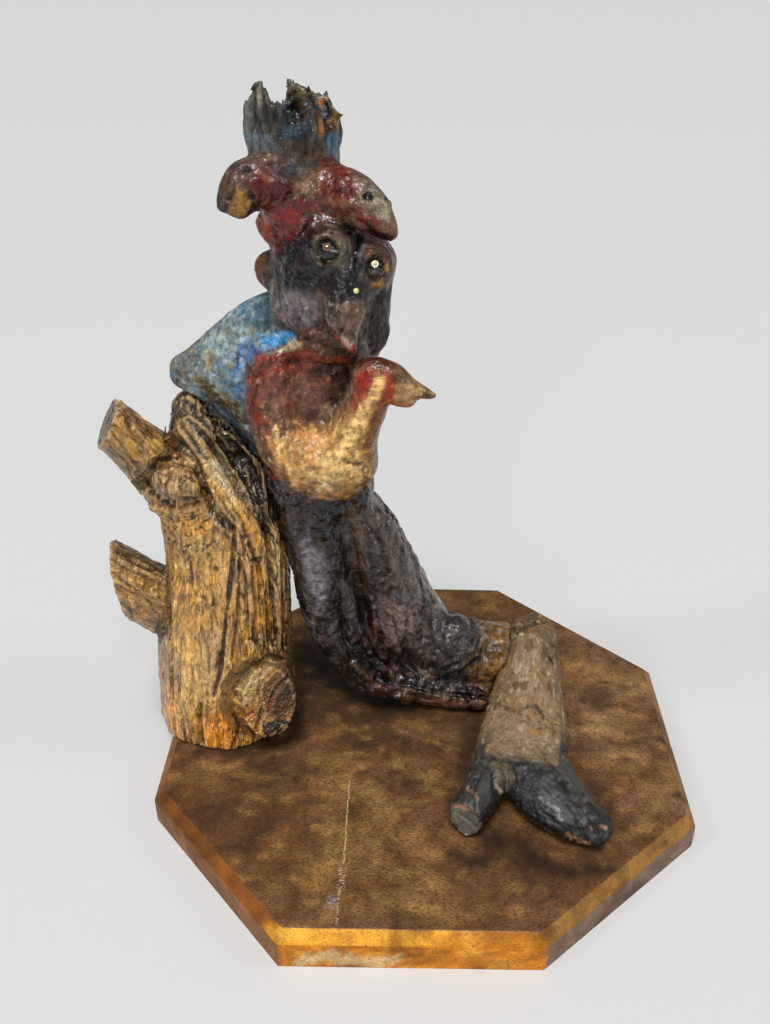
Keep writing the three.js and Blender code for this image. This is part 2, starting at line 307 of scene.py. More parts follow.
class Wood:
    """A piece in the making: its skin, and where the eye sees each point."""

    def __init__(self, node_name, mesh, ground):
        self.node, self.mesh = node_name, mesh
        self.object = stand(mesh.name, mesh)
        self.count = len(mesh.vertices)
        flat = np.empty(self.count * 3, np.float32)
        mesh.vertices.foreach_get("co", flat)
        self.xyz = flat.reshape(-1, 3).astype(float) / MM
        ends = np.empty(len(mesh.edges) * 2, np.int32)
        mesh.edges.foreach_get("vertices", ends)
        self.ends = ends.reshape(-1, 2).T
        self.links = np.maximum(np.bincount(self.ends.ravel(), minlength=self.count), 1)
        self.paint = np.tile(colour(ground), (self.count, 1))
        self.under = self.paint * 0.5
        self.wear = np.zeros(self.count)
        self.gloss = np.full(self.count, 0.5)
        self.look()
        print(mesh.name, self.count, "points")

    def around(self, values):
        """Mean of the neighbours' values, or of their places."""
        if values.ndim > 1:
            return np.stack([self.around(column) for column in values.T], axis=1)
        a, b = self.ends
        near = np.bincount(a, values[b], self.count) + np.bincount(b, values[a], self.count)
        return near / self.links

    def look(self):
        """Outward direction, picture position, depth and visibility of each point."""
        self.mesh.vertices.foreach_set("co", (self.xyz * MM).astype(np.float32).ravel())
        self.mesh.update()
        flat = np.empty(self.count * 3, np.float32)
        self.mesh.vertex_normals.foreach_get("vector", flat)
        self.normal = flat.reshape(-1, 3).astype(float)
        away = self.xyz - CAMERA_PLACE
        self.depth = away @ -BACK
        self.across = PICTURE[0] / 2 + FOCAL * (away @ RIGHT) / self.depth
        self.down = PICTURE[1] / 2 - FOCAL * (away @ UP) / self.depth
        facing = -np.einsum("ij,ij->i", self.normal, away) / np.linalg.norm(away, axis=1)
        square = (self.down // SQUARE).astype(int) * PICTURE[1] + (self.across // SQUARE).astype(int)
        squares, index = np.unique(square, return_inverse=True)
        nearest = np.full(len(squares), 1e9)
        np.minimum.at(nearest, index, np.where(facing > 0, self.depth, 1e9))
        self.seen = (self.depth < nearest[index] + SLACK) * ease(facing, 0.0, 0.2)

    def relax(self, rounds, hold=1.0):
        """Rounds off the flats; the bulk that this takes away is put back afterwards."""
        before = self.xyz.copy()
        share = 0.5 * np.broadcast_to(hold, self.count)[:, None]
        for _ in range(rounds):
            self.xyz += (self.around(self.xyz) - self.xyz) * share
        self.look()
        lost = np.einsum("ij,ij->i", before - self.xyz, self.normal)
        for _ in range(30):
            lost = self.around(lost)
        self.push(lost, 1.0)
        self.look()

    def pull(self, centre, reach, shift):
        """Grabs the wood round a place and moves it, all in mm."""
        share = np.exp(-((np.linalg.norm(self.xyz - centre, axis=1) / reach) ** 2))
        self.xyz += share[:, None] * shift

    def push(self, weight, height):
        """Moves points along the surface's own outward direction, by mm."""
        self.xyz += self.normal * (weight * height)[:, None]

    def depths(self, rounds=6):
        """How far each point lies below its surroundings, in mm: more than 0 in a groove."""
        mean = self.xyz
        for _ in range(rounds):
            mean = self.around(mean)
        return np.einsum("ij,ij->i", mean - self.xyz, self.normal)


# %% [markdown]
# A tool first has to know where it works. A line or an outline drawn on the picture picks the
# points behind it, and a blob picks those near a place, all round. Each gives 1 where the tool
# works fully and 0 where it doesn't reach, with a ragged edge, because no hand draws a clean one.


# %% Places on the wood
class Marked(Wood):
    def off_line(self, path):
        """Distance in mm, across the picture, from a drawn line."""
        best = np.full(self.count, 1e9)
        points = list(np.array(path, float))
        if len(points) == 1:
            points.append(points[0] + 0.01)
        for a, b in zip(points[:-1], points[1:]):
            along = b - a
            across, down = self.across - a[0], self.down - a[1]
            t = np.clip((across * along[0] + down * along[1]) / max(along @ along, 1e-6), 0, 1)
            best = np.minimum(best, np.hypot(across - t * along[0], down - t * along[1]))
        return best * self.depth / FOCAL

    def line(self, path, width, wobble=0.25):
        """1 on a drawn line, fading to 0 at its width in mm."""
        path = next(drawn(path))[0] if isinstance(path, str) else path
        ragged = width * (1 + wobble * lumps(self.xyz, 5, 77))
        return np.clip(1 - self.off_line(path) / ragged, 0, 1) * self.seen

    def patch(self, outline, soft=1.4, ragged=2.4):
        """1 inside a drawn outline, with a soft, ragged edge in mm."""
        outline = next(drawn(outline))[0] if isinstance(outline, str) else outline
        points = np.array(outline, float)
        inside = np.zeros(self.count, bool)
        for a, b in zip(points, np.roll(points, -1, axis=0)):
            crosses = (a[1] > self.down) != (b[1] > self.down)
            at = a[0] + (self.down - a[1]) * (b[0] - a[0]) / (b[1] - a[1] + 1e-9)
            inside ^= crosses & (self.across < at)
        edge = self.off_line([*outline, outline[0]])
        torn = rumple(self.xyz, 8, 55) + 0.8 * rumple(self.xyz, 3, 58)
        return ease(np.where(inside, edge, -edge) + ragged * torn, -soft, soft) * self.seen

    def blob(self, centre, size, soft=0.35):
        """1 inside an ellipsoid, in mm, all round the piece."""
        reach = np.linalg.norm((self.xyz - np.array(centre)) / np.array(size), axis=1)
        return 1 - ease(reach + 0.12 * rumple(self.xyz, 9, 31), 1 - soft, 1 + soft)

    def along(self, text):
        """Positions turned so that the third axis runs with the fibres; rows of centre, size, axis."""
        turned = self.xyz.copy()
        for ((centre, size, axis),) in drawn(text):
            third = Vector(axis).normalized()
            first = third.orthogonal().normalized()
            local = self.xyz @ np.array([first, third.cross(first), third]).T
            share = self.blob(centre, size, 0.12)[:, None]
            turned = turned * (1 - share) + local * share
        return turned


# %% [markdown]
# Three cuts do all of the carving: a gouge's groove, the ridge left beside it and the drill's hole.
# For painting there are coats, brush strokes, flecks, and chips where the top coat flaked off.
# The layers are kept on the mesh's own points, so no picture and no unwrapping is needed.


# %% The tools
class Block(Marked):
    def groove(self, path, width, depth, wobble=0.3):
        self.push(self.line(path, width, wobble) ** 1.2, -depth)

    def ridge(self, path, width, height):
        self.push(ease(self.line(path, width), 0, 1), height)

    def hole(self, spot, radius, depth):
        self.push(ease(self.line(spot, radius * 1.5, 0.1), 0, 0.75), -depth)

    def by_place(self, text, seed=5, sharp=6):
        """Ground colours from rows of colour, reach and place in mm, blended where they meet."""
        wander = np.stack([rumple(self.xyz, 14, seed + k) for k in range(3)], axis=1) * 6
        mixed = total = 0
        for centre, paint, reach in drawn(text):
            share = (reach / (np.linalg.norm(self.xyz + wander - centre, axis=1) + 1)) ** sharp
            mixed = mixed + share[:, None] * colour(paint)
            total = total + share
        self.paint = mixed / total[:, None]

    def coat(self, paint, where, strength=1.0):
        share = (where * strength)[:, None]
        self.paint = self.paint * (1 - share) + colour(paint) * share

    def lay(self, outline, paint, strength, *edge):
        """A coat inside a drawn outline; the edge's softness and raggedness may follow, in mm."""
        self.coat(paint, self.patch(outline, *edge), strength)

    def stroke(self, path, paint, width, strength=0.85):
        """One brush touch, uneven in width and broken where the brush ran dry."""
        track = self.line(path, width * 1.6, 0.5)
        dry = ease(rumple(self.xyz, 2.6, 71) + 0.6 * track, 0.05, 0.4)
        self.coat(paint, ease(track, 0, 0.7) * dry, strength)

    def flecks(self, size, paint, cover, seed, strength, where, soft=0.08):
        """Small irregular dabs of one colour; cover is how much of the place they take."""
        middle = 0.5 - cover * 0.8
        dabs = ease(rumple(self.xyz, size[0], int(seed)), middle - soft, middle + soft)
        self.coat(paint, where * dabs, strength)

    def chips(self, paint, where, amount):
        """Colour that shows where the top coat has flaked off, and how much of it has."""
        share = where[:, None]
        self.under = self.under * (1 - share) + colour(paint) * share
        self.wear = self.wear * (1 - where) + amount * where

    def shine(self, where, amount):
        self.gloss = self.gloss * (1 - where) + amount * where

    def keep(self, name, kind, values):
        """Stores a layer of values on the mesh's points."""
        field = {"FLOAT": "value", "FLOAT_COLOR": "color", "FLOAT_VECTOR": "vector"}[kind]
        kept = self.mesh.attributes.new(name, kind, "POINT")
        kept.data.foreach_set(field, values.astype(np.float32).ravel())

    def done(self, material, slot, deep=1.0):
        """Stores the paint layers and hands the piece to the frame."""
        self.look()
        opaque = np.ones((self.count, 1))
        for name in ("paint", "under"):
            self.keep(name, "FLOAT_COLOR", np.hstack([np.clip(getattr(self, name), 0, 1), opaque]))
        for name in ("wear", "gloss"):
            self.keep(name, "FLOAT", np.clip(getattr(self, name), 0, 1))
        below = self.depths()
        self.keep("hollow", "FLOAT", ease(below, 0.08, 0.7) * deep)
        self.keep("crest", "FLOAT", ease(-below, 0.08, 0.5))
        self.mesh.materials.clear()
        self.mesh.materials.append(material)
        self.mesh.polygons.foreach_set("use_smooth", np.ones(len(self.mesh.polygons), bool))
        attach(self.object, "root")
        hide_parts(self.node)
        print(self.mesh.name, "done,", 2 * len(self.mesh.polygons), "triangles")


print("tools ready:", *(name for name in vars(Block) if name[0] != "_"))

# %% [markdown]
# ## The painted root
# The main figure is one root, from the splintered crown to the thighs. Its paint lies in thin
# worn layers: near-black below, blue on the shoulder, crimson and gold on the arm and heads.
# The ground colour changes slowly over the body, so each point takes it from the nearest named
# places. The flats of the exact solid are relaxed away first, and less so where wood is thin.


# %% Rough out the painted root
figure = Block("root_creature", even_skin("root_creature", "root_figure", 1.38), "#3a3031")
tender = 1 - 0.85 * ease(figure.xyz[:, 2], 409, 416)
for tip in ((3, -44, 294), (-106, -28, 386), (-18, -27, 373)):
    tender *= 0.2 + 0.8 * ease(np.linalg.norm(figure.xyz - tip, axis=1), 3, 14)
figure.relax(24, tender)
figure.pull((-98, 16, 246), 17, (-11, 0, -5))
figure.pull((-95.5, -28, 386), 7, (0.5, -0.5, -5))
figure.look()

figure.by_place("""
#5f5f55 11 -92,0,415
#43494a 10 -70,-15,410
#50606a 10 -52,2,412
#4b5356 12 -70,18,412
#4e4335 10 -72,2,396
#566468 8 -88,-2,400
#5b4140 11 -84,-11,402
#54433a 9 -100,-22,392
#5e281d 12 -80,2,388
#6b2118 13 -64,-10,384
#6b392c 13 -48,-8,392
#7a6a59 10 -30,-20,388
#633328 10 -34,-22,372
#54302a 13 -70,18,384
#6b5442 8 -62,-14,394
#8a3324 8 -84,-2,370
#5b443c 9 -87,5,346
#353434 17 -62,-22,346
#4d453c 14 -40,-26,352
#3a3536 20 -64,22,348
#453c3a 13 -34,-2,344
#5c5453 14 -66,-22,322
#5f4c41 13 -42,-34,326
#4c403b 14 -33,4,314
#433a3c 20 -60,26,318
#4f372b 13 -58,-22,306
#5d717a 14 -92,-2,318
#7e8f92 20 -104,6,302
#64696a 18 -140,18,280
#6b7f88 18 -110,4,280
#5c7480 26 -100,34,290
#5d5547 14 -110,8,262
#2c3b47 12 -98,4,244
#74402f 15 -70,-30,298
#7d4434 11 -90,-22,286
#6c4c40 17 -66,-30,272
#a5784a 12 -76,-30,252
#b58d58 18 -55,-40,246
#76583a 13 -34,-22,246
#8f6238 13 -52,-30,226
#a07c4f 10 -40,-36,268
#8f4c3a 10 -30,-36,290
#8a5a48 9 -22,-38,304
#9e7d57 8 -8,-42,298
#6a584a 9 -44,-18,286
#2f2b2b 34 -66,40,250
#332d2d 24 -68,10,216
#4e4a4b 20 -74,10,180
#453f40 20 -60,6,120
#2a1f1c 22 -40,20,50
#4a4340 24 -20,30,150
#5a4e49 22 -8,40,110
#393232 30 -20,60,130
#2b211d 16 10,22,38
#4a4642 20 22,24,62
#463f3b 22 18,60,66
#6f5534 15 42,40,60
#7d6038 18 62,44,54
#3a2b24 10 44,20,32
""")
figure.look()
print("painted root roughed out")

# %% [markdown]
# Old roots are never smooth. Long lumps and cracks run with the fibres of the thighs, shorter
# ones lie on the body, and the crown gets upright splinters. Each is noise stretched along the
# grain and pushed in or out, the big shapes first.

# %% Long grain and lumps of the root
low = 1 - ease(figure.xyz[:, 2], 225, 262)
crown = ease(figure.xyz[:, 2], 405, 415)
fibres = figure.along("""
-30,36,150 90,90,112 .41,.05,-.91
64,44,52 26,40,36 1,.1,-.1
""")
figure.push(rumple(figure.xyz, 26, 3) * (1 - crown), 1.2)
figure.look()
figure.push(rumple(fibres, (10, 10, 34), 8) * low, 2.0)
figure.push(cracks(fibres, (12, 12, 50), 10) * low, -0.7)
figure.look()
figure.push(rumple(fibres, (6, 6, 18), 9, 2) * low, 0.45)
figure.push(rumple(figure.xyz, (5, 5, 8), 12) * (1 - crown), 0.45)
figure.push(rumple(figure.xyz, 15, 19, 2) * low, 1.1)
figure.push(rumple(figure.xyz, 3.6, 18, 2) * (1 - crown), 0.22)
figure.push(rumple(figure.xyz, (4, 4, 22), 15) * crown, 1.6)
figure.push(cracks(figure.xyz, (5, 5, 50), 16) * crown, -1.6)
figure.look()
print("grain carved")


# %% [markdown]
# The crown is the root's torn end: upright splinters with deep dark clefts between them. Below it,
# two bird heads fork apart over a dark face with sockets carved round its glass eyes.


# %% Carve the heads
every(figure.groove, """
2 1 262,82 264,120 268,142
1.8 .8 252,104 255,125 262,146
2 1.2 276,112 279,130 284,150
1.8 1 287,108 291,125 296,150
2.2 1.2 303,118 306,135 308,155
1.5 1 313,104 314,137
1.8 1.4 326,104 327,140
1.6 .8 334,135 333,155
1.4 .7 245,112 247,140
2 .7 255,160 265,172 281,180
2 .8 268,163 284,176 300,180
2 .7 256,186 266,196 282,203
3 1.2 250,176 250,200 258,212
2.5 .8 295,195 320,205 350,222
2.4 1.4 360,222 376,235 392,239
2.5 .6 345,180 352,196 366,214
3 1.4 303,228 312,236 311,262 320,276
2.8 1.3 358,236 360,252 358,268 350,284
2 1.2 331,298 335,318 338,334 346,350
1.6 .8 326,298 322,314 328,334 338,350
2.4 1.6 366,298 368,318 364,336
1.6 .8 376,298 384,318 381,338
2.2 1.1 271,245 270,275 268,310
3.2 1.3 283,236 279,265 278,300 284,322
2.6 1 300,232 293,250 291,275 282,300
1.8 .9 262,252 258,268 262,286
2.6 1.2 280,325 300,338 322,345 346,354
2 .8 268,322 290,331 320,332
2.2 1.3 372,320 368,340 372,353
1.6 .8 386,325 388,346
2 .9 258,222 266,232 272,244
1.6 .7 340,292 348,300 364,301
2.2 1 o326,251,9.5,1.1
2 .9 o377,268,9.5,1.15
""")
every(figure.ridge, """
2.6 .9 317,100 318,138
4 1.4 300,236 316,223 340,219 362,228
3 .6 o326,251,13.5,1.1
2.6 .5 o377,268,12.5,1.15
3.2 1.3 362,238 361,252 357,270
4.5 1.6 341,337 350,344 356,354
3 .8 256,164 270,178 286,190
4 .9 345,203 364,206 390,203
2.5 .8 252,260 250,272 256,286
""")
every(figure.hole, """
1.8 2 288,99
2.2 2.6 293,108
1.6 2 299,114
1.7 2.6 246,170
1.2 1.6 229,199
1.8 2.4 252,197
1.8 2.4 367,196
1.2 1.8 387,198
1.3 1.6 341,331
1.1 2 384,585
""")
figure.look()
print("heads carved")

# %% [markdown]
# The beaked arm is a hollow fold between rolled edges, and each thigh is a bundle of swollen
# ridges with deep clefts. They are drawn line by line as seen in the picture: a groove is the
# gouge's cut and a ridge is the wood left standing.

# %% Carve the shoulder, the beaked arm and the thighs
every(figure.groove, """
2 .6 205,330 225,322 246,326
4 1.5 205,400 225,415 243,433
1.2 .8 238,352 237,376
2.4 .9 176,372 190,388 206,397
2 1 249,372 247,400 256,430 263,462
3 1.3 258,373 275,363 300,361 330,367 352,368
2.5 .8 262,400 275,425 282,450 285,480
1.6 1.2 343,460 352,464 362,463
2.5 .8 330,425 345,400 362,372
9 4 346,506 351,535 356,565 359,590 365,612
3.6 4 364,606 367,625 367,648 378,670 392,684
3.6 3.6 331,574 337,594 343,616 345,638 352,660
2.6 1 300,506 310,545 318,590
2.8 3.6 377,680 413,686 445,694 488,698
2.4 1.6 355,660 372,676 392,690 430,700
2.4 1.5 322,620 334,646 354,674 392,698 440,707
3 1.8 372,600 380,632 396,660 420,676
3.5 1.2 380,520 398,556 408,600 404,646
2.6 1 396,530 414,566 424,600 421,640
3 2.2 434,603 431,622 436,646 450,662
3 3 487,640 480,658 464,672 438,681
2.4 1.2 404,652 420,664 446,672
1.8 .8 478,640 490,660 495,690
2 1.2 268,486 276,520 286,556
2 1 392,610 398,640 412,660
""")
every(figure.ridge, """
6 1.6 198,378 222,396 246,416
2.4 .8 281,430 284,455 285,485
2.4 1.3 479,632 472,648 458,660 440,667
4 1.2 366,500 376,530 392,566 398,600
5 1.6 352,585 354,606 356,630
3 1.4 371,600 374,630 384,656
22 5 454,632
13 3.2 288,500 296,545 306,590 318,625 334,652
15 2.6 386,520 402,560 408,600 404,640
8 2 318,520 334,548 338,570
6 2.2 344,650 372,686 410,700
6 2 384,650 410,672 440,680
3.4 1.2 330,655 350,684 388,704 450,712
3 .6 388,392 404,385 424,392
5 .9 340,455 352,436 366,402
""")
figure.push(figure.patch("262,380 300,376 350,368 338,418 300,428 270,418", 8, 5), -1.4)
knotty = figure.patch("318,610 424,650 440,690 380,704 345,680", 5)
figure.push(knotty * rumple(figure.xyz, 8, 161, 2), 2.0)
figure.pull((-14.4, -47.9, 291.1), 7, (-3.5, 0.5, 2.5))
figure.look()
print("arm and thighs carved")

# %% [markdown]
# The painter's coats follow, from broad ones to small touches. Each is a patch or a stroke with a
# ragged edge. Where the top coat has flaked, the colour below is kept as chips, and the
# material breaks the two apart along its own fine grain.

# %% Paint the crown and the bird heads
every(figure.lay, """
#66645a .8 244,100 262,78 272,98 275,130 262,142 246,138
#5f7078 .7 242,128 262,132 278,148 262,156 246,152
#33383a .8 276,112 306,116 312,136 290,140 276,138
#6c675a .8 284,78 330,94 326,104 300,100 286,100
#a0683a .9 315,100 325,100 325,138 317,138
#4f7488 .8 322,134 342,130 342,150 326,154
#4c3824 .9 327,104 346,112 346,128 328,134
#2e2c28 .7 266,104 273,100 275,128 266,134
#554433 .8 278,142 322,138 326,158 300,164 280,152
#4a5f70 .6 282,126 308,124 312,136 284,138
#6d5246 .8 240,156 262,150 292,158 286,166 258,160 240,166
#5a4536 .8 226,178 244,174 246,190 232,196 220,204
#9c7040 .9 232,186 246,188 250,204 240,214 228,208
#581d13 .85 256,178 268,176 296,196 300,212 262,210 256,196
#8f1a0a .9 274,210 298,214 300,224 292,240 284,230 270,216
#7a6a66 .7 258,196 280,200 282,208 264,208
#7a5f4c .8 300,172 316,168 316,182 300,200 292,190
#5f2f25 .8 312,178 340,166 352,176 352,200 330,196
#5a2019 .7 342,178 356,186 364,214 352,212 344,196
#84563f .6 312,198 340,202 356,218 330,216
#66514a .75 348,166 366,174 386,194 392,216 380,214 364,196 354,180
#857b6a .7 362,184 374,186 384,200 384,216 374,210 366,202
#a4977f .6 378,200 388,204 390,220 378,212
#6f2419 .8 360,212 378,222 386,238 370,232 356,220
#b0482e .85 256,216 266,216 272,238 262,236
#7a4a3c .7 248,254 264,250 268,272 262,290 250,284
""")
# The near-black dabs in the drilled holes of the crown and the birds are painted shade.
every(figure.stroke, """
#8e5a49 1.6 256,168 268,180
#c9a26e 1.4 238,190 236,204
#1c1714 2.4 297,100 300,112
#15110f 1.8 246,170
#15110f 1.6 252,197
#1a1411 2.2 364,196 370,197
#1a1411 1.6 387,198
#1d1512 2.2 376,236 390,239
#2b2a26 1.4 257,90 255,112 262,132
#2b2a26 1.2 266,92 268,122
#15120f 3.4 290,101 297,113
#b9b09a 1 260,84 259,104
#b07440 1.6 320,104 321,134
#93846c 1.2 300,90 318,98
#3c2b1c 3 330,110 344,122
#a57a45 1.2 332,108 342,114
#2a2016 1.6 228,208 238,214 250,214
#241d19 1.6 273,100 276,120
#241d19 1.4 327,108 328,128
#1b1612 1.2 229,199
""")
print("crown and birds painted")

# %% [markdown]
# The face is dark stained wood, rubbed at the brow, with pale rims round the eyes and a raw brown
# mouth. The stained wood is left with some gloss and the raw mouth is kept dull.

# %% Paint the dark face
every(figure.lay, """
#2a2a2e .6 284,236 316,228 366,240 366,276 340,292 300,292 284,288
#3c3431 .85 368,298 394,292 395,350 372,354
#323236 .8 284,236 304,232 312,262 300,290 282,288
#453f39 .8 306,224 340,218 372,232 394,250 380,256 350,240 318,236
#4f4c48 .5 266,262 280,262 282,316 268,316
#786e6e .6 284,288 318,284 322,318 298,326 282,318
#2b2f38 .8 342,276 368,280 366,300 344,298
#6a5347 .85 334,300 364,300 366,328 352,336 340,326
#5d4b40 .7 316,284 334,290 332,326 318,320
#463e3b .7 370,296 390,300 390,326 372,326
#63412f .8 286,330 330,328 344,352 300,352
#452f24 .7 362,334 392,326 394,350 372,354
#a33a24 .9 337,338 352,342 358,356 346,354
#62584e .55 336,236 354,240 354,262 346,276 338,268
#23252b .85 354,240 363,242 362,270 354,284 350,276
#2c1c15 .9 372,332 396,330 396,356 374,356
#241f20 .8 366,222 392,240 392,250 376,240
#3d352b .75 o377,268,12,1.1
#4a4336 .6 o326,251,12,1.1
""")
# 6d6a70 on the nose ridge and #c8b4ab at the beak tip are painted highlights; the #120f0e dab in the nostril
# is painted shade.
every(figure.stroke, """
#a8793a 1.3 387,266 387,276 381,285 374,285
#7e7358 1.2 313,244 316,236 326,233
#7e6a48 1.4 318,264 328,268 338,262
#6a6058 1.2 384,300 389,322
#16130f 2.2 324,264 330,266
#6d6a70 1.4 362,244 360,256
#120f0e 1.4 341,331
#c8b4ab 1.6 343,338 350,346
#8a7f78 1.2 300,292 306,306
""")
face = figure.blob((-58, -6, 340), (40, 44, 44))
every(figure.flecks, """
#1d1c1f .38 182 .5 7,7,10
#6a4a3c .3 185 .4 6,6,8
#8f8a86 .18 188 .45 3,3,5
""", face)
birds = figure.blob((-66, -6, 390), (52, 40, 22))
every(figure.flecks, """
#2e1a16 .3 191 .5 5,5,5
#a09080 .16 194 .4 3,3,3
""", birds)
every(figure.lay, """
#242529 .5 4 4 290,236 312,240 312,268 330,276 344,268 362,276 360,296 300,296 282,284
#6c6352 .5 1.4 2 334,238 350,240 350,258 344,272 336,266
#38200f .6 372,332 396,330 396,354 374,356
""")
figure.shine(face, 0.62)
figure.shine(figure.patch("372,290 400,280 400,356 372,356", 4), 0.15)
figure.shine(figure.patch("262,300 340,320 344,354 270,350", 4), 0.3)
figure.chips("#8c7d72", face, 0.16)
mouth = figure.patch("276,300 330,296 372,300 392,320 392,354 340,354 286,350", 5, 5)
every(figure.flecks, """
#18110e .24 246 .55 2.2,2.2,3.4
#a59c98 .1 249 .5 1.7,1.7,2.4
""", mouth)
figure.chips("#33241c", figure.patch("370,300 400,286 400,356 372,356", 4), 0.16)
print("face painted")

# %% [markdown]
# The shoulder is a knob painted sky blue over a grey ground and worn back to the wood. Flecks of
# several blues at several sizes look more like old paint than one blue would.

# %% Paint the blue shoulder
every(figure.lay, """
#62798a .6 236,300 262,292 264,326 236,330
#93a19f .75 206,334 240,324 256,336 240,356 204,358
#66675f .7 170,360 186,356 192,380 178,388 172,374
#9aa9a9 .8 182,378 200,382 200,396 182,398
#3f8fc4 .95 258,336 292,332 296,340 280,346 262,350
#c9b48a .9 276,350 292,340 300,344 292,352 272,354
#3d6fa6 .8 236,344 250,338 262,350 250,356 252,366 240,372 244,396 236,392 232,366
#4f7ea6 .6 230,366 250,366 250,400 236,398
#5c4f38 .9 196,374 212,382 248,414 236,418 206,398
#3a332a .8 206,402 226,416 244,434 252,430 250,418 226,404
#14283c .9 214,412 236,424 262,462 252,462 230,436 212,424
#6f6459 .6 238,424 252,426 256,442 242,440
""")
every(figure.stroke, """
#b7a06a 1.6 206,352 210,372
#b09a6a 1.4 224,358 232,368
#6d4a68 1.6 250,350 258,354
#3f86c6 1.8 248,452 258,466
#3f7fc0 3 246,350 244,372 242,396
#8fb4cf 1.4 262,334 284,336
#a9b6b4 1.4 220,334 228,344
""")
shoulder = figure.blob((-108, 12, 286), (56, 40, 46))
every(figure.flecks, """
#5f8fae .32 223 .35 9,9,9
#b4c4c6 .26 197 .5 3,3,3
#3f5666 .34 200 .45 6,6,6
#8a7c58 .22 203 .5 5,5,5
""", shoulder)
every(figure.flecks, """
#2f3a40 .22 258 .5 2.6,5,2.6
""", shoulder * ease(-figure.down, -350, -300))
figure.chips("#8d8468", shoulder, 0.42)
figure.shine(shoulder, 0.25)
print("shoulder painted")

# %% [markdown]
# The arm's hollow is crimson and brown, and its rolled edge and the beak are gold. The rim has
# lost paint, so dark flecks are laid along it last. A cream painted highlight sits low on the
# gold bulb, and painted shade darkens the right side of the hollow under the head.

# %% Paint the beaked arm
# 2d1c17 is painted shade in the hollow under the head.
every(figure.lay, """
#7c3b2c .8 254,356 300,350 352,358 350,372 290,372 258,380
#2d1c17 .8 304,366 352,364 350,384 334,396 312,384
#6a4c40 .9 262,380 306,376 340,384 334,420 300,436 270,430
#63372b .8 245,360 257,366 253,380 258,404 268,430 280,470 272,470 256,436 245,400
#a88a6c .8 320,404 340,392 336,424 318,430
#b98c56 .8 268,438 284,438 306,428 324,416 340,412 340,456 320,490 290,488 276,462
#cda66a .8 300,452 344,452 362,460 362,486 330,494 304,484
#7a5a38 .8 364,444 378,456 376,484 364,494 362,466
#c08348 .9 296,490 330,496 352,490 346,500 320,502
#f0c27c .9 376,372 387,376 384,392 373,412 363,434 352,450 336,462 340,440 352,420 366,398 372,384
#6e4235 .8 362,358 386,356 394,368 390,378 364,376
#8e2c1e .85 354,374 370,368 374,382 366,396 356,396
#8f3422 .85 386,374 396,382 395,406 384,414 382,398
#74604f .8 346,376 358,368 356,392 340,416 328,424 336,396
#7b4b33 .7 372,400 388,402 376,440 366,446
#4a3b2e .7 390,370 404,374 412,384 398,388
#aa875e .8 398,388 412,382 430,392 414,400 396,402
#96643f .8 386,402 412,402 398,414 386,412
""")
hollow = figure.patch("258,372 350,366 340,424 300,442 262,436", 7, 6)
every(figure.flecks, """
#8a6650 .3 121 .4 4,4,4
#70342a .2 124 .4 7,7,7
""", hollow)
golden = figure.patch("266,424 346,424 372,440 376,480 340,500 280,490 268,450", 6, 5)
every(figure.flecks, """
#c48f52 .42 127 .6 7,7,7
#8a4a30 .26 130 .55 5,5,5
#f0cf90 .26 133 .6 2.4,2.4,2.4
""", golden)
# d8b888 and #f3dcc0 are a painted highlight low on the gold bulb.
every(figure.stroke, """
#6d3226 2 254,396 260,424
#e8bf7c 1.8 276,428 280,446 286,462
#f2cf8e 1.4 284,462 288,478
#7e3c2c 1.4 250,376 249,400 256,424
#c08a4a 1.6 283,452 286,482
#241a12 1 344,461 352,464 360,463
#d8b888 1.5 322,486 334,482
#7c3a2c 1.6 262,358 290,354 312,356
#6d3a22 1.6 284,470 290,490
#7d3424 2.6 268,470 290,492 312,502
#f3dcc0 1.6 328,484
#241a14 1.6 424,393 430,395
""")
rim = figure.patch("244,356 300,348 354,356 352,380 300,380 264,384 266,440 282,478 262,470 246,410", 4, 4)
every(figure.flecks, """
#2a1410 .3 252 .65 2.6,2.6,3.4
#b5895a .1 255 .55 1.8,1.8,2.4
""", rim)
# Painted shade down the right side of the hollow, under the head.
every(figure.stroke, """
#231512 2.6 .7 350,370 344,384 332,402
""")
arm = figure.blob((-62, -30, 268), (34, 26, 50))
figure.chips("#4d3325", arm, 0.3)
figure.shine(arm, 0.55)
print("arm painted")

# %% [markdown]
# The thighs are stained nearly black and worn paler along some ridges; the pale grey-violet coats
# on the near thigh and low on the far one are painted sheen. Broad coats follow each ridge and
# cleft, and flecks stretched along the wood give the streaks.

# %% Paint the dark thighs and the bare knee
# 6d686b on the near thigh is painted sheen.
every(figure.lay, """
#2e2726 .7 264,476 300,490 340,506 344,540 300,540 280,516
#6d686b .5 300,540 308,530 320,562 326,592 324,606 310,580
#5f5a58 .7 342,576 356,574 360,606 352,620 342,606
#1a1717 .85 262,470 284,488 292,520 286,548 274,520
#171313 .8 334,585 344,590 348,636 338,636
#64503f .75 345,506 358,508 366,560 370,604 362,606 354,570
#5a3a2b .7 368,600 378,604 384,640 372,650
#5f5148 .5 376,510 386,524 404,566 396,596 384,560
#2c2929 .7 328,500 340,512 346,556 340,574 332,556 324,520
#2a2322 .5 360,606 370,606 373,640 362,656
#665a50 .6 368,506 392,520 424,572 430,604 400,600 372,560
#75665f .6 376,596 420,600 426,640 396,644 378,628
#1e1613 .85 346,660 380,676 430,672 484,690 484,712 400,708 360,690
#38211a .8 350,640 400,644 436,664 400,676 356,664
#4d4945 .85 434,610 470,612 480,632 466,656 440,660 430,636
#7c5c34 .85 476,616 504,620 500,692 470,684 464,668 482,640
#4a3622 .6 466,660 484,650 488,672 470,678
""")
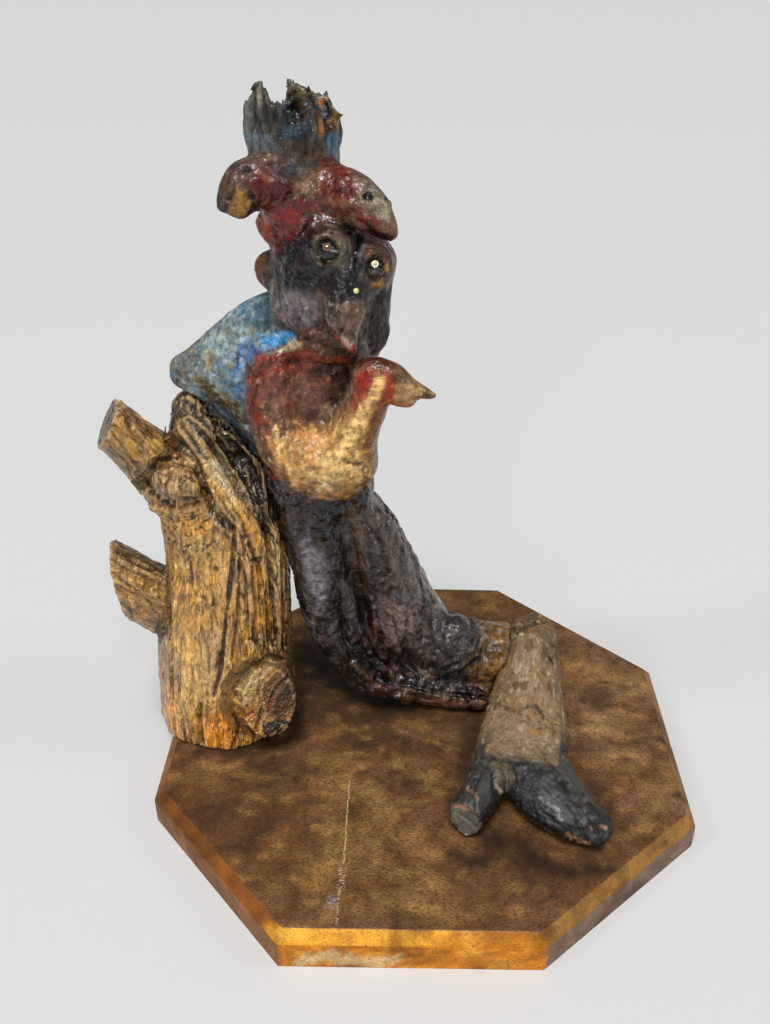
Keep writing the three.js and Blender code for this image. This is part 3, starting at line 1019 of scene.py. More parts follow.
# The #0c0a09 dab in the drilled hole is painted shade.
every(figure.stroke, """
#0f0b09 2 400,690 440,693 488,699
#0c0a09 1.2 384,585
#655f58 1.2 470,640 458,656 440,668
#8a6c40 1.6 480,640 490,650
""")
thighs = 1 - ease(figure.xyz[:, 2], 226, 256)
every(figure.flecks, """
#55301f .32 164 .5 5,5,5
#0e0a09 .4 167 .7 6,6,6
""", knotty)
every(figure.flecks, """
#786454 .34 170 .45 5,5,18
""", thighs * ease(figure.across, 350, 370))
every(figure.flecks, """
#191615 .4 173 .5 7,7,22
#5a4230 .26 176 .5 8,8,14
#12100f .36 226 .5 6,6,12
#70604f .26 229 .45 4,4,7
#565a62 .24 232 .45 3,3,5
""", thighs)
every(figure.flecks, """
#8d878a .2 179 .4 4,4,12
""", thighs * (1 - ease(figure.across, 340, 360)))

# %% [markdown]
# As a painter does, the whole figure is gone over again at the end: clefts are darkened, the
# crimson beak is glazed twice, and pale strokes of painted sheen are laid on the thigh ridges that
# catch the light.

# %% Second coats
every(figure.lay, """
#0f1a26 .8 2 3 206,404 226,416 246,436 263,458 263,476 248,470 226,446 206,424
#4a3f2c .5 2 4 198,378 214,386 246,414 238,420 208,400
""")
every(figure.stroke, """
#2f74b4 2.2 .85 249,448 254,458 258,468
#3a78a8 1.6 .6 214,414 222,424 228,432
""")
every(figure.lay, """
#5c0d07 .6 250,176 266,182 290,198 284,212 258,208 250,190
""")
figure.shine(figure.patch("276,206 298,212 300,226 292,242 284,232 272,216"), 0.3)
every(figure.lay, """
#7e0a04 .6 278,208 296,214 298,228 290,240 283,230 274,216
#7c0d05 .75 276,206 298,212 300,226 292,242 284,232 272,216
#1e2026 .45 3 4 286,236 300,226 312,224 312,262 322,274 346,270 352,244 362,240 364,262 360,296 300,298 280,288
""")
every(figure.stroke, """
#4a4234 1.8 .5 o326,251,11.5,1.1
""")
every(figure.lay, """
#8c6638 .9 .8 1 236,187 246,191 253,200 251,211 242,217 227,214 231,204 234,195
""")
every(figure.stroke, """
#1e1714 1.6 .8 252,192 254,203 251,212
#2b241d 1.4 .8 235,188 230,200 224,211
""")
# 7d777e and #8b868b on the near thigh, and #837169 and #a59289 low on the far thigh, are painted sheen;
# #4b4038 is painted shade in the arm's hollow.
every(figure.lay, """
#262323 .7 314,506 334,504 342,520 347,560 343,586 332,570 322,540
#6b5544 .8 347,506 362,506 367,540 369,580 370,604 362,606 355,580 350,545
#403c3b .7 436,612 462,612 476,632 464,652 446,656 436,636
#17100d .5 338,664 372,690 430,700 486,704 486,712 400,708 352,692
#7d777e .6 299,540 310,536 320,562 326,590 320,606 308,588
#837169 .5 378,596 398,600 404,634 394,646 382,628
#523a2f .6 366,676 400,690 440,694 440,702 400,700 370,688
#8b868b .4 306,548 322,548 334,570 330,592 316,592
#5f5a53 .55 342,586 358,586 358,612 342,612
#a59289 .5 388,606 412,606 414,634 392,636
#33231b .65 350,352 392,350 394,366 352,366
#4b3c2e .5 394,354 408,362 428,384 428,391 412,384 396,374
#4b4038 .5 340,372 350,374 342,404 330,418 328,400
#7a5848 .7 420,698 486,702 486,708 420,706
#0d0806 .85 346,640 372,646 386,664 372,672 352,660
""")
# 8f8b92, #7a767c and #85767a are strokes of painted sheen on the thighs.
every(figure.stroke, """
#8f8b92 2.6 303,545 311,570 320,596
#7a767c 2 322,556 329,580
#080606 3.2 331,588 338,606 343,632
#7a6350 3 371,514 382,536 392,562
#6f5a49 2.6 388,510 400,538
#171413 2.4 377,530 384,552 392,578
#85767a 3 375,600 381,625 392,645
#5e2f1c 2.6 367,606 371,628
#6e5548 2.2 352,664 372,680
#716b64 1.8 436,606 470,612 485,636 468,660 446,672
""", 0.7)
every(figure.flecks, """
#1c1817 .3 240 .4 9,9,16
#9a8f8c .1 243 .35 2.2,2.2,7
""", thighs * ease(figure.down, 530, 560))
figure.chips("#6a5a4c", thighs, 0.12)
figure.shine(thighs * (1 - figure.blob((30, 40, 60), (34, 40, 34))), 0.85)
figure.shine(figure.blob((24, 36, 62), (22, 26, 24)), 0.3)
figure.shine(figure.blob((62, 44, 54), (22, 30, 30)), 0.45)
figure.shine(figure.blob((-70, 0, 386), (44, 36, 20)), 0.75)
figure.coat("#55402a", figure.blob((-47, 0, 428), (9, 14, 9)) * crown, 0.85)
every(figure.lay, """
#54432f .6 1 2 286,86 300,82 312,96 306,116 292,112
""")
every(figure.flecks, """
#9a6f3c .3 217 .7 2.4,2.4,5
""", figure.blob((-47, 0, 428), (10, 14, 12)) * crown)
every(figure.flecks, """
#1c1712 .34 220 .7 3,3,10
""", crown)
print("figure painted")

# %% [markdown]
# The paint is oil colour brushed over bare root and varnished by hand. It shines in patches, so
# roughness follows a shine layer and its own mottling. The flaked edge of each chip comes from
# fine noise added to the wear layer, and dirt and painted shade darken whatever lies deep.


# %% Varnished, flaking paint
def coats(tree, grain, fine, mottle=0.5, speckle=0.8):
    """Base colour: top coat, chips, mottling, dirt and painted shade in the hollows, and dark specks."""
    chip = span(tree, maths(tree, "ADD", layer(tree, "wear"), fine), 0.92, 1.08)
    base = over(tree, chip, layer(tree, "paint", "Color"), layer(tree, "under", "Color"))
    shade = span(tree, grain, 0.36, 0.64, 1 - mottle, 1 + mottle)
    varied = node(tree, "ShaderNodeVectorMath", {"operation": "SCALE", 0: base, "Scale": shade})
    # Hollows are darkened towards #14100d: dirt and painted shade.
    hollow_grime_and_shade = maths(tree, "MULTIPLY", layer(tree, "hollow"), 0.75)
    spots = span(tree, fine, 0.42, 0.36, 0, speckle)
    return over(tree, spots, over(tree, hollow_grime_and_shade, varied, "#14100d"), "#17120f")


VARNISH_FILM = 0.02
figure.paint = np.maximum(figure.paint * 1.04 - VARNISH_FILM, figure.paint * 0.2)
figure.under = np.maximum(figure.under - VARNISH_FILM, figure.under * 0.3)
root_paint, tree, surface = new_material("varnished_oil_paint_on_root")
place = object_place(tree)
fine = noise(tree, place, 620, 5, 0.7)
uneven = maths(tree, "SUBTRACT", layer(tree, "gloss"), maths(tree, "MULTIPLY_ADD", fine, 0.35, -0.17))
broad = bump(tree, noise(tree, place, 180, 1.5, 0.45), 1, 0.0021)
close = bump(tree, noise(tree, place, 640, 1), 0.8, 0.0005, Normal=broad)
settle(surface, {
    "Base Color": coats(tree, noise(tree, place, 260, 6, 0.65), fine, 0.5, 0.5),
    "Roughness": span(tree, uneven, 0, 1, 0.6, 0.3),
    "Specular IOR Level": 0.2,
    "Normal": close,
    "Coat Weight": span(tree, uneven, 0.2, 0.8, 0, 0.8),
    "Coat Roughness": 0.07,
    "Coat Normal": close,
})
torn = ease(figure.xyz[:, 2], 418, 432) * ease(figure.normal[:, 2], 0.1, 0.5)
ragged = figure.patch("318,98 352,98 352,140 326,136", 2)
figure.keep("torn", "FLOAT", np.maximum(torn, ragged * ease(figure.xyz[:, 2], 414, 420)))
upright = np.array([0, 0, 1]) + figure.normal * 0.35
figure.keep("lie", "FLOAT_VECTOR", upright + ragged[:, None] * np.array([1.6, -0.2, -0.5]))
figure.done(root_paint, "painted_root")

# %% [markdown]
# Torn wood ends in slivers too fine to carve. Geometry nodes spread points over the torn patch of
# the skin, stand a five-sided tapering sliver on each, turned along the fibres with a little
# chance, and let it take the paint of the place it grows from.


# %% Slivers of torn wood
def slivers(name, block, material, density, length, width, lean, seed):
    """A piece of fine slivers on a block's torn patch; density to the square metre, sizes in mm."""
    tree = bpy.data.node_groups.new("slivers_of_torn_wood", "GeometryNodeTree")
    amounts = {"Slivers per square metre": density, "Length": length * MM, "Width": width * MM, "Lean": lean}
    tree.interface.new_socket("Skin", in_out="INPUT", socket_type="NodeSocketGeometry")
    for label in amounts:
        tree.interface.new_socket(label, in_out="INPUT", socket_type="NodeSocketFloat")
    tree.interface.new_socket("Seed", in_out="INPUT", socket_type="NodeSocketInt")
    tree.interface.new_socket("Slivers", in_out="OUTPUT", socket_type="NodeSocketGeometry")
    given = tree.nodes.new("NodeGroupInput").outputs

    torn = node(tree, "GeometryNodeInputNamedAttribute", {"data_type": "FLOAT", "Name": "torn"})
    lie = node(tree, "GeometryNodeInputNamedAttribute", {"data_type": "FLOAT_VECTOR", "Name": "lie"})
    spread = node(tree, "GeometryNodeDistributePointsOnFaces", {
        "Mesh": given["Skin"],
        "Density": maths(tree, "MULTIPLY", torn, given["Slivers per square metre"]),
        "Seed": given["Seed"],
    })
    turned = node(tree, "FunctionNodeAlignRotationToVector", {"axis": "Z", "Vector": lie})
    whole_turn = 6.28
    widest = node(tree, "ShaderNodeCombineXYZ", {"X": given["Lean"], "Y": given["Lean"], "Z": whole_turn})
    least = node(tree, "ShaderNodeVectorMath", {"operation": "SCALE", 0: widest, "Scale": -1})
    chance = {"data_type": "FLOAT_VECTOR"}
    swing = node(tree, "FunctionNodeRandomValue", {**chance, "Min": least, "Max": widest})
    swung = node(tree, "FunctionNodeRotateRotation", {
        "rotation_space": "LOCAL",
        "Rotation": turned,
        "Rotate By": node(tree, "FunctionNodeEulerToRotation", {"Euler": swing}),
    })
    scale = node(tree, "FunctionNodeRandomValue", {**chance, "Min": (0.7, 0.25, 0.3), "Max": (1.3, 0.6, 1)})
    sliver = node(tree, "GeometryNodeMeshCone", {
        "Vertices": 5, "Radius Top": 0.00035, "Radius Bottom": given["Width"], "Depth": given["Length"],
    })
    sunk = node(tree, "GeometryNodeTransform", {"Translation": (0, 0, -0.0008), "Geometry": sliver})
    placed = node(tree, "GeometryNodeInstanceOnPoints", {
        "Points": spread, "Instance": sunk, "Rotation": swung, "Scale": scale,
    })
    real = node(tree, "GeometryNodeRealizeInstances", {"Geometry": placed})
    painted = node(tree, "GeometryNodeSetMaterial", {"Material": material, "Geometry": real})
    settle(tree.nodes.new("NodeGroupOutput"), {"Slivers": painted})

    ground = stand("ground", block.mesh)
    growth = ground.modifiers.new("slivers", "NODES")
    growth.node_group = tree
    sockets = {item.name: item.identifier for item in tree.interface.items_tree if item.in_out == "INPUT"}
    for label, value in {**amounts, "Seed": seed}.items():
        growth[sockets[label]] = value
    mesh = evaluated(ground, name)
    made = stand(name, mesh)
    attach(made, "root")
    print(name, len(mesh.polygons), "faces")


slivers("crown_splinters", figure, root_paint, 30000.0, 3.2, 2.4, 0.2, 3)

# %% [markdown]
# ## The stump
# The stump is a trunk section with its bark worn to stringy ridges, two sawn branch stubs, a
# torn-open top and a burr, all under thick amber varnish. The fibres of a branch follow the
# branch, so each point also gets a grain place: its position turned into its limb's own axis.


# %% Rough out the stump
def towards(*axis):
    return np.array(Vector(axis).normalized())


stump = Block("stump", even_skin("stump", "bark_stump", 1.05), "#a07a48")
# Each saw cut: its heart, a point on the saw's plane, the way it faces, its radius and its paint.
CUTS = [
    ((-190, -5, 256), (-188, -5, 257), towards(-0.83, -0.3, 0.47), 21, "#55443b"),
    ((-199, 4, 142), (-199, 0, 150), towards(-1, -0.05, -0.1), 28, "#5f4e3c"),
]
tender = np.ones(stump.count)
for heart, point, facing, radius, _ in CUTS:
    near = np.linalg.norm(stump.xyz - heart, axis=1) < radius * 1.4
    height = (stump.xyz - point) @ facing
    tender *= 1 - 0.85 * near * np.exp(-((height / 3) ** 2))
stump.relax(12, tender)
fibres = stump.along("""
-186,0,248 34,30,34 -.58,-.17,.8
-196,8,134 36,34,44 -.79,-.1,.6
-101,-30,66 28,16,34 .4,-.88,.25
""")
stump.by_place("""
#a07a4a 30 -150,-24,60
#94704a 26 -178,-10,60
#ac8450 26 -120,-28,110
#a87f4c 28 -150,-22,140
#93692f 22 -100,-14,130
#8f6c3c 20 -104,-10,180
#a3814e 20 -130,-18,190
#8f6a3a 20 -158,-4,190
#5d4428 24 -92,14,100
#84623a 44 -130,50,80
#75563a 34 -130,44,180
#7c5d3c 15 -147,-16,222
#9c7638 20 -176,-6,240
#70543a 12 -190,6,256
#7a5a3e 12 -180,0,262
#3a2a1c 15 -138,4,246
#8c7054 12 -126,-2,244
#3a2b1e 20 -112,-4,224
#8d6d48 18 -182,0,118
#5f4a30 16 -184,4,146
#8d6a42 22 -100,-26,60
#a56f36 12 -126,-30,30
""")
stump.look()
print("stump roughed out")

# %% [markdown]
# Ridges of bark are long lumps stretched with the grain; the cracks between them wander and are
# cut deeper. Then the clefts that the eye can name are cut one by one.

# %% Carve the bark
plank = stump.patch(
    "176,421 190,414 206,428 224,452 241,480 258,520 266,556 250,560 244,538 224,512 204,480 190,452",
    0.9, 1.4,
)
knot = stump.patch("248,706 254,684 268,666 284,660 298,668 299,706 284,722 262,716", 2, 1)
calm = 1 - 0.8 * np.maximum(plank, knot)
stringy = ease(stump.across, 228, 258) * ease(stump.down, 500, 540) * (1 - ease(stump.down, 640, 670))
stringy = np.maximum(stringy, ease(stump.normal[:, 0], 0.3, 0.7) * (stump.xyz[:, 1] > 0))
scaly = stump.patch("152,500 206,506 226,530 220,560 168,560 150,520", 6)
stump.push(rumple(fibres, (12, 12, 50), 21) * calm, 1.3)
stump.look()
splits = cracks(fibres, (9, 9, 110), 27) ** 1.5 * (0.6 + 0.4 * stringy)
splits = np.maximum(splits, cracks(fibres, (5.5, 5.5, 60), 29) ** 2 * (0.5 + 0.5 * stringy))
splits = np.maximum(splits, scaly * cracks(stump.xyz, (6, 6, 3.5), 33) ** 2)
burr = stump.blob((-170, -22, 224), (17, 16, 14), 0.2)
splits = np.maximum(splits, burr * cracks(stump.xyz, (7, 7, 7), 34) ** 2) * calm
stump.push(rumple(fibres, (5, 5, 40), 24) * calm, 0.5 + 0.9 * stringy)
stump.push(splits**1.5, -1.5)
stump.push(cracks(fibres, (7, 7, 14), 31) * calm, -0.6)
stump.push(rumple(stump.xyz, (5, 5, 7), 35) * calm, 0.5)
stump.push(rumple(fibres, (2.4, 2.4, 6), 38) * calm, 0.45)
stump.look()
every(stump.groove, """
3.4 3.6 168,436 184,446 197,462 206,490 212,512
3.6 3.6 206,492 214,514 233,529
2 2.6 235,530 233,563 228,597 224,637 220,673 213,696
2.6 2.6 243,525 250,550 262,575 268,602 270,642
2.4 2.6 268,530 270,560 272,602 275,645
2.6 3 283,520 285,600 285,645
2.2 2.6 292,560 290,650
1.6 1.4 190,558 192,582
3.2 3 202,434 223,466 237,492 257,520 277,542
3 3.4 152,493 170,502 197,500
2.4 2.4 152,468 158,460 172,458
3 2.2 128,420 134,436 143,444
3 2.6 170,420 168,440 182,452
3.5 2.5 205,410 222,430 252,470 262,500
3 2.5 216,440 236,462 250,490
1.8 1.2 240,560 238,620 232,660
1.6 1.4 252,560 256,610 252,650
2.6 2.6 240,700 234,690 246,672 270,656 298,662
2.4 2.6 200,706 202,750
2 2.2 232,708 240,728 232,750
2.4 2.4 262,712 256,730 262,750
1.6 1.2 262,668 258,690 262,712
1.8 1.6 180,640 178,700 186,742
2 1.6 166,560 170,620 172,700
1.8 1.2 160,520 176,540 180,580
1.6 1 214,600 210,660 206,720
1.8 1.2 112,560 130,572 160,582
1.6 1 116,576 134,590 152,604
1.6 1 118,440 134,462 150,486
1.4 1 246,716 240,722 246,738
""")
every(stump.ridge, """
3 1.2 276,530 278,580 280,640
3.4 1 246,560 250,600 262,640
4 1.4 150,508 176,512 200,506
4 1 222,560 216,640 206,690
14 1 178,480
""")
stump.push(plank, 2.4)
every(stump.groove, """
182,424 200,450 220,484 244,524
190,420 210,444 232,478 254,520
198,424 218,450 238,484
190,446 206,474 226,506 248,546
""", 1.8, 1.1, 0.6)
every(stump.hole, """
5 3.5 236,462
1.4 2 250,640
2.2 1.6 216,570
1.8 1.4 177,520
""")
stump.look()
print("bark carved")

# %% [markdown]
# The two sawn stubs are flat, with faint rings: ripples of the distance from the heart, kept to
# points on the saw's plane. The big knot was split rather than sawn, so its grain runs in streaks.

# %% Sawn faces and the knot
sawn = np.zeros(stump.count)
for heart, point, facing, radius, _ in CUTS:
    height = (stump.xyz - point) @ facing
    spread = np.linalg.norm(stump.xyz - heart, axis=1)
    level = (1 - ease(np.abs(height), 1.6, 3.0)) * (1 - ease(spread, radius, radius * 1.2))
    level *= ease(stump.normal @ facing, 0.2, 0.5)
    stump.xyz -= (level * height)[:, None] * facing
    stump.push(level * np.sin(spread * 1.7 + 2.5 * rumple(stump.xyz, 12, 41)), 0.14)
    stump.push(level * cracks(stump.xyz, (4, 12, 12), 43), -0.7)
    sawn = np.maximum(sawn, level)
every(stump.groove, """
1.8 .6 252,706 262,684 280,664
2 1 268,712 274,692 290,674
1.6 .4 282,716 288,700 297,688
1.6 .4 246,700 254,680 268,666
1.2 .3 258,712 266,690 286,668
1.2 .3 276,708 284,688 296,676
""")
stump.look()
print("rings cut")

# %% [markdown]
# Amber varnish pools light and dark over bark, split wood and saw cuts. Coats go from the big
# fields to the thin dark clefts, and flecks stretched up and down keep to the grain. Some coats
# are painted light: a painted highlight down the plank, and painted shade in the cracks and on
# the side that faces the figure.

# %% Paint the stump
# In this round, #120d0a down the gap by the figure, #3d2c1d and #2a1e14 on the right side, and #17110c and
# #2c1f14 in clefts are painted shade; #cdb38a is a painted highlight on the plank.
every(stump.lay, """
#3a2a1c .85 165,398 188,398 204,408 186,420 172,430 166,450 160,430
#9d8468 .7 176,420 190,424 200,450 196,470 184,452 174,436
#120d0a .9 206,408 240,430 262,470 276,520 262,530 244,500 226,480 216,440
#4a3a2c .7 226,436 250,470 262,504 248,500 232,470
#6d5440 .85 176,421 190,414 206,428 224,452 222,470 206,480 190,452
#94703f .85 214,466 226,456 241,480 258,520 266,556 250,560 244,538 224,512 208,484
#cdb38a .85 208,456 216,462 232,486 240,502 232,506 220,490 210,472
#b3853f .8 236,500 250,520 274,548 276,566 258,548 240,526
#b8842a .8 240,550 256,560 264,600 258,640 244,640 240,590
#5f4a32 .85 154,466 176,462 198,476 196,492 160,494
#17110c .85 152,494 176,500 198,494 196,502 172,508 156,502
#b07f35 .8 150,506 200,504 212,520 200,536 170,530 156,518
#a87f3c .8 104,442 126,420 150,460 160,500 140,486 118,460
#6c5040 .7 128,402 142,418 160,428 158,440 144,440 130,420
#30220f .85 118,534 140,546 168,564 166,580 140,572 118,558
#93744c .7 114,566 150,580 164,600 150,622 124,604 112,590
#b88d55 .6 176,560 226,560 228,640 214,700 180,700 172,620
#a59080 .5 200,640 218,636 216,690 202,690
#7f6c60 .6 168,656 180,656 182,704 170,700
#d99038 .9 160,682 176,690 182,744 170,722
#d08a3a .9 202,716 232,712 238,730 230,750 202,750
#a46420 .85 236,710 258,706 262,730 250,742 238,730
#bd8f58 .7 238,736 262,728 276,748 240,750
#c98436 .85 160,688 168,690 180,744 166,716
#a08a70 .8 240,700 238,688 252,668 270,660 282,660 262,684 250,706
#54381f .85 262,684 284,662 298,668 298,706 280,724 262,714
#8d6f54 .8 252,690 270,664 276,664 262,688 256,704
#2e1c10 .85 272,690 290,672 298,680 296,704 278,712
#9a6028 .7 264,706 280,684 284,688 272,714
#8a561f .6 276,704 298,690 296,712 280,722
#242322 .9 262,722 292,718 286,736 268,746 260,736
#3d2c1d .7 280,520 297,560 298,650 284,650 280,600
#7a5426 .6 238,520 262,540 276,570 282,640 264,650 236,600
#2c1f14 .8 206,494 214,512 236,528 234,534 214,524 206,506
#c8922c .85 250,556 270,570 272,620 262,636 258,600
#2a1e14 .7 262,640 298,640 298,660 270,656
""", 1.2, 2.5)
# f0dcb8 is a painted highlight on the plank; the near-black lines are painted shade in the cracks.
every(stump.stroke, """
#f0dcb8 1.8 214,464 224,480 233,494
#0f0b08 2.2 214,520 237,545 236,560
#15100b 1.2 234,560 228,600 223,640
#15100b 1.8 223,640 219,680 213,696
#15100b 1.4 243,528 262,576 270,640
#15100b 1.4 284,524 286,640
#1a130d 1.4 190,558 192,582
#3a2e28 1.6 128,420 143,444
#d0a060 1.4 172,690 180,730
""")
for heart, _, _, radius, paint in CUTS:
    face = sawn * (np.linalg.norm(stump.xyz - heart, axis=1) < radius * 1.5)
    stump.coat(paint, face, 0.95)
    stump.coat("#3c2f28", face * cracks(stump.xyz, (5, 9, 9), 45), 0.8)
whole = 1 - sawn
bark = whole * (1 - stump.patch("200,704 240,700 240,656 300,656 300,752 200,752"))
every(stump.flecks, """
#b57f2c .36 81 .5 8,8,20
#86705c .34 85 .6 6,6,14
#54391f .34 88 .5 3.5,3.5,12
#d8b888 .22 91 .6 2.4,2.4,4
""", bark)
stump.coat("#cfae7c", bark * stump.patch("178,640 214,640 222,700 204,716 180,716", 8, 6), 0.5)
# Painted shade: the strip along the top that lies in the gap by the figure, and the hollow on top at the left.
painted_shade_side = np.maximum(
    stump.patch("186,396 206,402 240,428 262,468 278,520 268,532 246,502 226,470 204,436 190,412", 2),
    stump.patch("164,394 190,392 188,412 174,420 168,446 158,432", 2),
)
stump.coat("#191310", painted_shade_side, 0.85)
every(stump.flecks, """
#5a4530 .24 210 .5 4,4,12
""", painted_shade_side)
every(stump.flecks, """
#2a1c12 .3 214 .7 2.5,2.5,9
""", plank)
# ecd2a4 and #fbf1dc are a painted highlight along the plank.
every(stump.stroke, """
#ecd2a4 2.2 .95 214,462 224,478 232,494
#fbf1dc 2.2 .95 216,463 226,482
#c9953f 2.6 .9 232,494 246,518 256,544
""")
every(stump.lay, """
#1c1a18 .95 262,722 292,718 286,736 268,746 260,736
""")
stump.paint = 1.5 * stump.paint ** np.array([1.06, 1.12, 1.34])
# Painted shade: the cracks and the named clefts are darkened almost to black.
CRACK_SHADE = "#120b07"
stump.coat(CRACK_SHADE, ease(splits, 0.35, 0.8) * whole, 0.85)
stump.coat(CRACK_SHADE, stump.line("220,523 237,548 238,563 231,590 227,623 223,650 218,672", 2.6, 0.8), 0.95)
stump.coat(CRACK_SHADE, stump.line("218,650 219,676 213,696", 2.0, 0.4), 0.95)
stump.coat("#1a110b", stump.line("152,494 174,504 200,497", 4.0, 1.2), 0.9)
stump.coat("#3a2616", stump.blob((-170, -22, 224), (17, 16, 14), 0.2), 0.4)
# The painted shade is laid again after the brightening, except on the plank.
stump.coat("#1a120c", painted_shade_side * (1 - plank), 0.65)
# d3bd93 is a painted highlight on the plank and #2c1d13 is painted shade in the cleft beside it.
every(stump.lay, """
#d3bd93 .7 209,455 218,456 231,476 240,498 234,504 222,490 211,470
#3f2d18 .75 118,532 140,544 168,562 168,584 146,572 118,560
#3a2415 .75 270,690 288,670 299,678 298,706 280,722 268,712
#241710 .8 194,420 206,440 204,462 190,452 184,436
#2c1d13 .6 196,470 214,500 232,520 230,534 206,512
#6b4a20 .5 104,450 120,440 140,470 158,500 150,510 128,482
#7a5a3c .45 146,600 164,600 166,700 158,690
#141312 .85 264,722 292,718 286,736 268,746
#d98f1c .8 252,560 266,572 268,616 258,636 252,600
#8f6a55 .35 196,630 222,626 220,690 200,694
""", 1.2, 2.5)
stump.chips("#5a4330", whole, 0.3)
stump.shine(whole, 0.7)
stump.shine(stump.blob((-190, -5, 258), (10, 14, 18)), 0.2)
print("stump painted")

# %% [markdown]
# Varnished bark is glossy amber, with painted shade in its cracks. Streaks are noise squeezed
# across the grain and drawn out along it; crests are rubbed paler, hollows stay dark.

# %% Varnished bark
material, tree, surface = new_material("amber_varnished_bark")
grain_place = layer(tree, "grain_place", "Vector")
stretched = stretch(tree, grain_place, 1, 1, 0.16)
streaks = noise(tree, stretched, 420, 6, 0.7)
fine = noise(tree, stretched, 900, 4, 0.7)
wavy = noise(tree, stretch(tree, grain_place, 1, 1, 0.13), 420, 2.5, 0.55)
fissure = span(tree, maths(tree, "ABSOLUTE", maths(tree, "SUBTRACT", wavy, 0.5)), 0.045, 0.012)
open_bark = span(tree, noise(tree, grain_place, 90, 3, 0.6), 0.41, 0.6, 0.08, 0.85)
# Dark #2c1d12 in the fissures is painted shade.
fissure_shade = maths(tree, "MULTIPLY", fissure, open_bark)
rubbed = maths(tree, "MULTIPLY", layer(tree, "crest"), streaks)
tone = over(tree, fissure_shade, coats(tree, streaks, fine, 0.6, 0.18), "#2c1d12")
broad = bump(tree, noise(tree, stretch(tree, grain_place, 1, 1, 0.35), 520, 2, 0.6), 1, 0.0026)
settle(surface, {
    "Base Color": over(tree, rubbed, tone, "#dcb57c"),
    "Roughness": maths(tree, "ADD", maths(tree, "MULTIPLY", fine, 0.5), 0.12),
    "Specular IOR Level": 0.25,
    "Normal": bump(tree, streaks, 0.7, 0.0008, Normal=broad),
    "Coat Weight": 1,
    "Coat Roughness": 0.09,
    "Coat Normal": broad,
})
stump.keep("grain_place", "FLOAT_VECTOR", fibres * MM)
stump.keep("torn", "FLOAT", (1 - sawn) * (0.25 + stringy) * ease(lumps(stump.xyz, 18, 6), -0.1, 0.5))
upright = np.array([0, 0, 1]) - stump.normal * stump.normal[:, 2:]
stump.keep("lie", "FLOAT_VECTOR", upright + stump.normal * 0.1)
stump.done(material, "bark", 0.8)
slivers("bark_fibres", stump, material, 9000.0, 9.0, 1.3, 0.06, 5)

# %% [markdown]
# ## The shin and feet
# The second root is bare and dusty above, fine-grained like driftwood, and its two toes are
# dipped in black paint that has chipped pink at the tips. The smaller toe ends in a sawn face.

# %% Carve the shin and feet
shin = Block("shin_root", even_skin("shin_root", "shin_and_feet", 0.95), "#856e56")
shin.relax(26, 1 - 0.7 * shin.blob((27, -96, 36), (13, 12, 14)))
fibres = shin.along("""
78,20,45 30,62,30 -.13,-.99,-.02
40,-78,38 24,34,24 -.4,-.91,-.09
94,-74,38 30,34,24 .6,-.79,-.09
""")
shin.push(rumple(fibres, (12, 12, 40), 51), 1.4)
shin.look()
shin.push(rumple(fibres, (3.4, 3.4, 26), 54), 0.7)
shin.push(rumple(shin.xyz, (4, 4, 4), 58), 0.6)
shin.look()
every(shin.groove, """
1.8 1.8 495,620 508,630 524,626 545,622
2 1.6 508,640 516,632 522,622
1.6 1.4 500,640 510,628 517,634
1.2 .8 497,652 498,670
1.4 .6 500,742 522,738 540,748 550,764
1.2 .5 508,752 528,746 544,760
2 1.2 505,708 518,712 528,706
1.6 1 536,706 545,714 541,724
1.6 .8 562,700 563,760
4 3 494,775 497,792 505,812
1.6 .9 540,810 560,826 580,842
1.8 1.6 578,822 584,836 590,848
1.8 1.4 590,818 597,832 602,846
1.4 1 568,826 572,838 578,846
1.4 .8 512,800 530,812 556,824
1.6 1 468,786 476,800 476,816
1.2 .7 445,808 456,812 472,822
1.4 .8 482,770 470,800
""")
every(shin.ridge, """
5 1 512,640 525,636 540,642
4 1 546,640 556,700 562,760
2.6 1.2 o524,705,9,.7
4 1.2 520,816 548,838 590,852
2.4 .5 500,770 512,764 540,770 566,780
2 .6 446,806 460,800 476,812
""")
every(shin.hole, "1.4 2.2 551,660")
shin.look()
print("shin carved")

# %% [markdown]
# The bare root is dusty brown and each toe was dipped in black. The border between the two runs
# straight across the root, so it is found by the place on the root and not in the picture.
# The toes' tops are painted paler as painted light, and their undersides darker as painted shade.

# %% Paint the shin and feet
shin.by_place("""
#75634d 22 80,50,66
#86705a 24 78,20,66
#8f785c 22 74,-20,62
#78664f 22 60,10,46
#7d6a54 22 98,10,46
#5c4d3d 26 78,10,28
#5a5347 12 62,-46,44
#333436 20 40,-74,40
#5e5b57 12 26,-100,37
#474849 22 92,-66,42
#3a3836 18 110,-94,36
""")
# On the black toes, #4a4d50 is the top painted paler as painted light; #141312 and #1a1816 are the undersides
# in painted shade.
every(shin.lay, """
#8d765a .7 498,730 560,735 558,764 514,762 484,752
#7e6b52 .5 496,660 516,660 512,720 490,722
#95806a .5 514,636 542,636 540,690 516,700
#3e4042 .95 466,760 496,762 494,776 486,792 478,812 462,800 462,786
#544f44 .8 492,764 514,766 512,782 498,782
#1f2123 .95 512,764 540,768 566,782 574,800 612,832 604,850 560,846 500,812 500,796 514,786
#4a4d50 .4 524,772 552,776 566,796 556,806 532,792
#141312 .9 500,800 530,812 572,838 600,846 600,856 556,848 500,816
#66625c .9 444,808 458,802 474,818 472,836 462,840 448,826
#1a1816 .9 480,808 500,800 514,820 494,826 478,822
""", 0.9, 1.4)
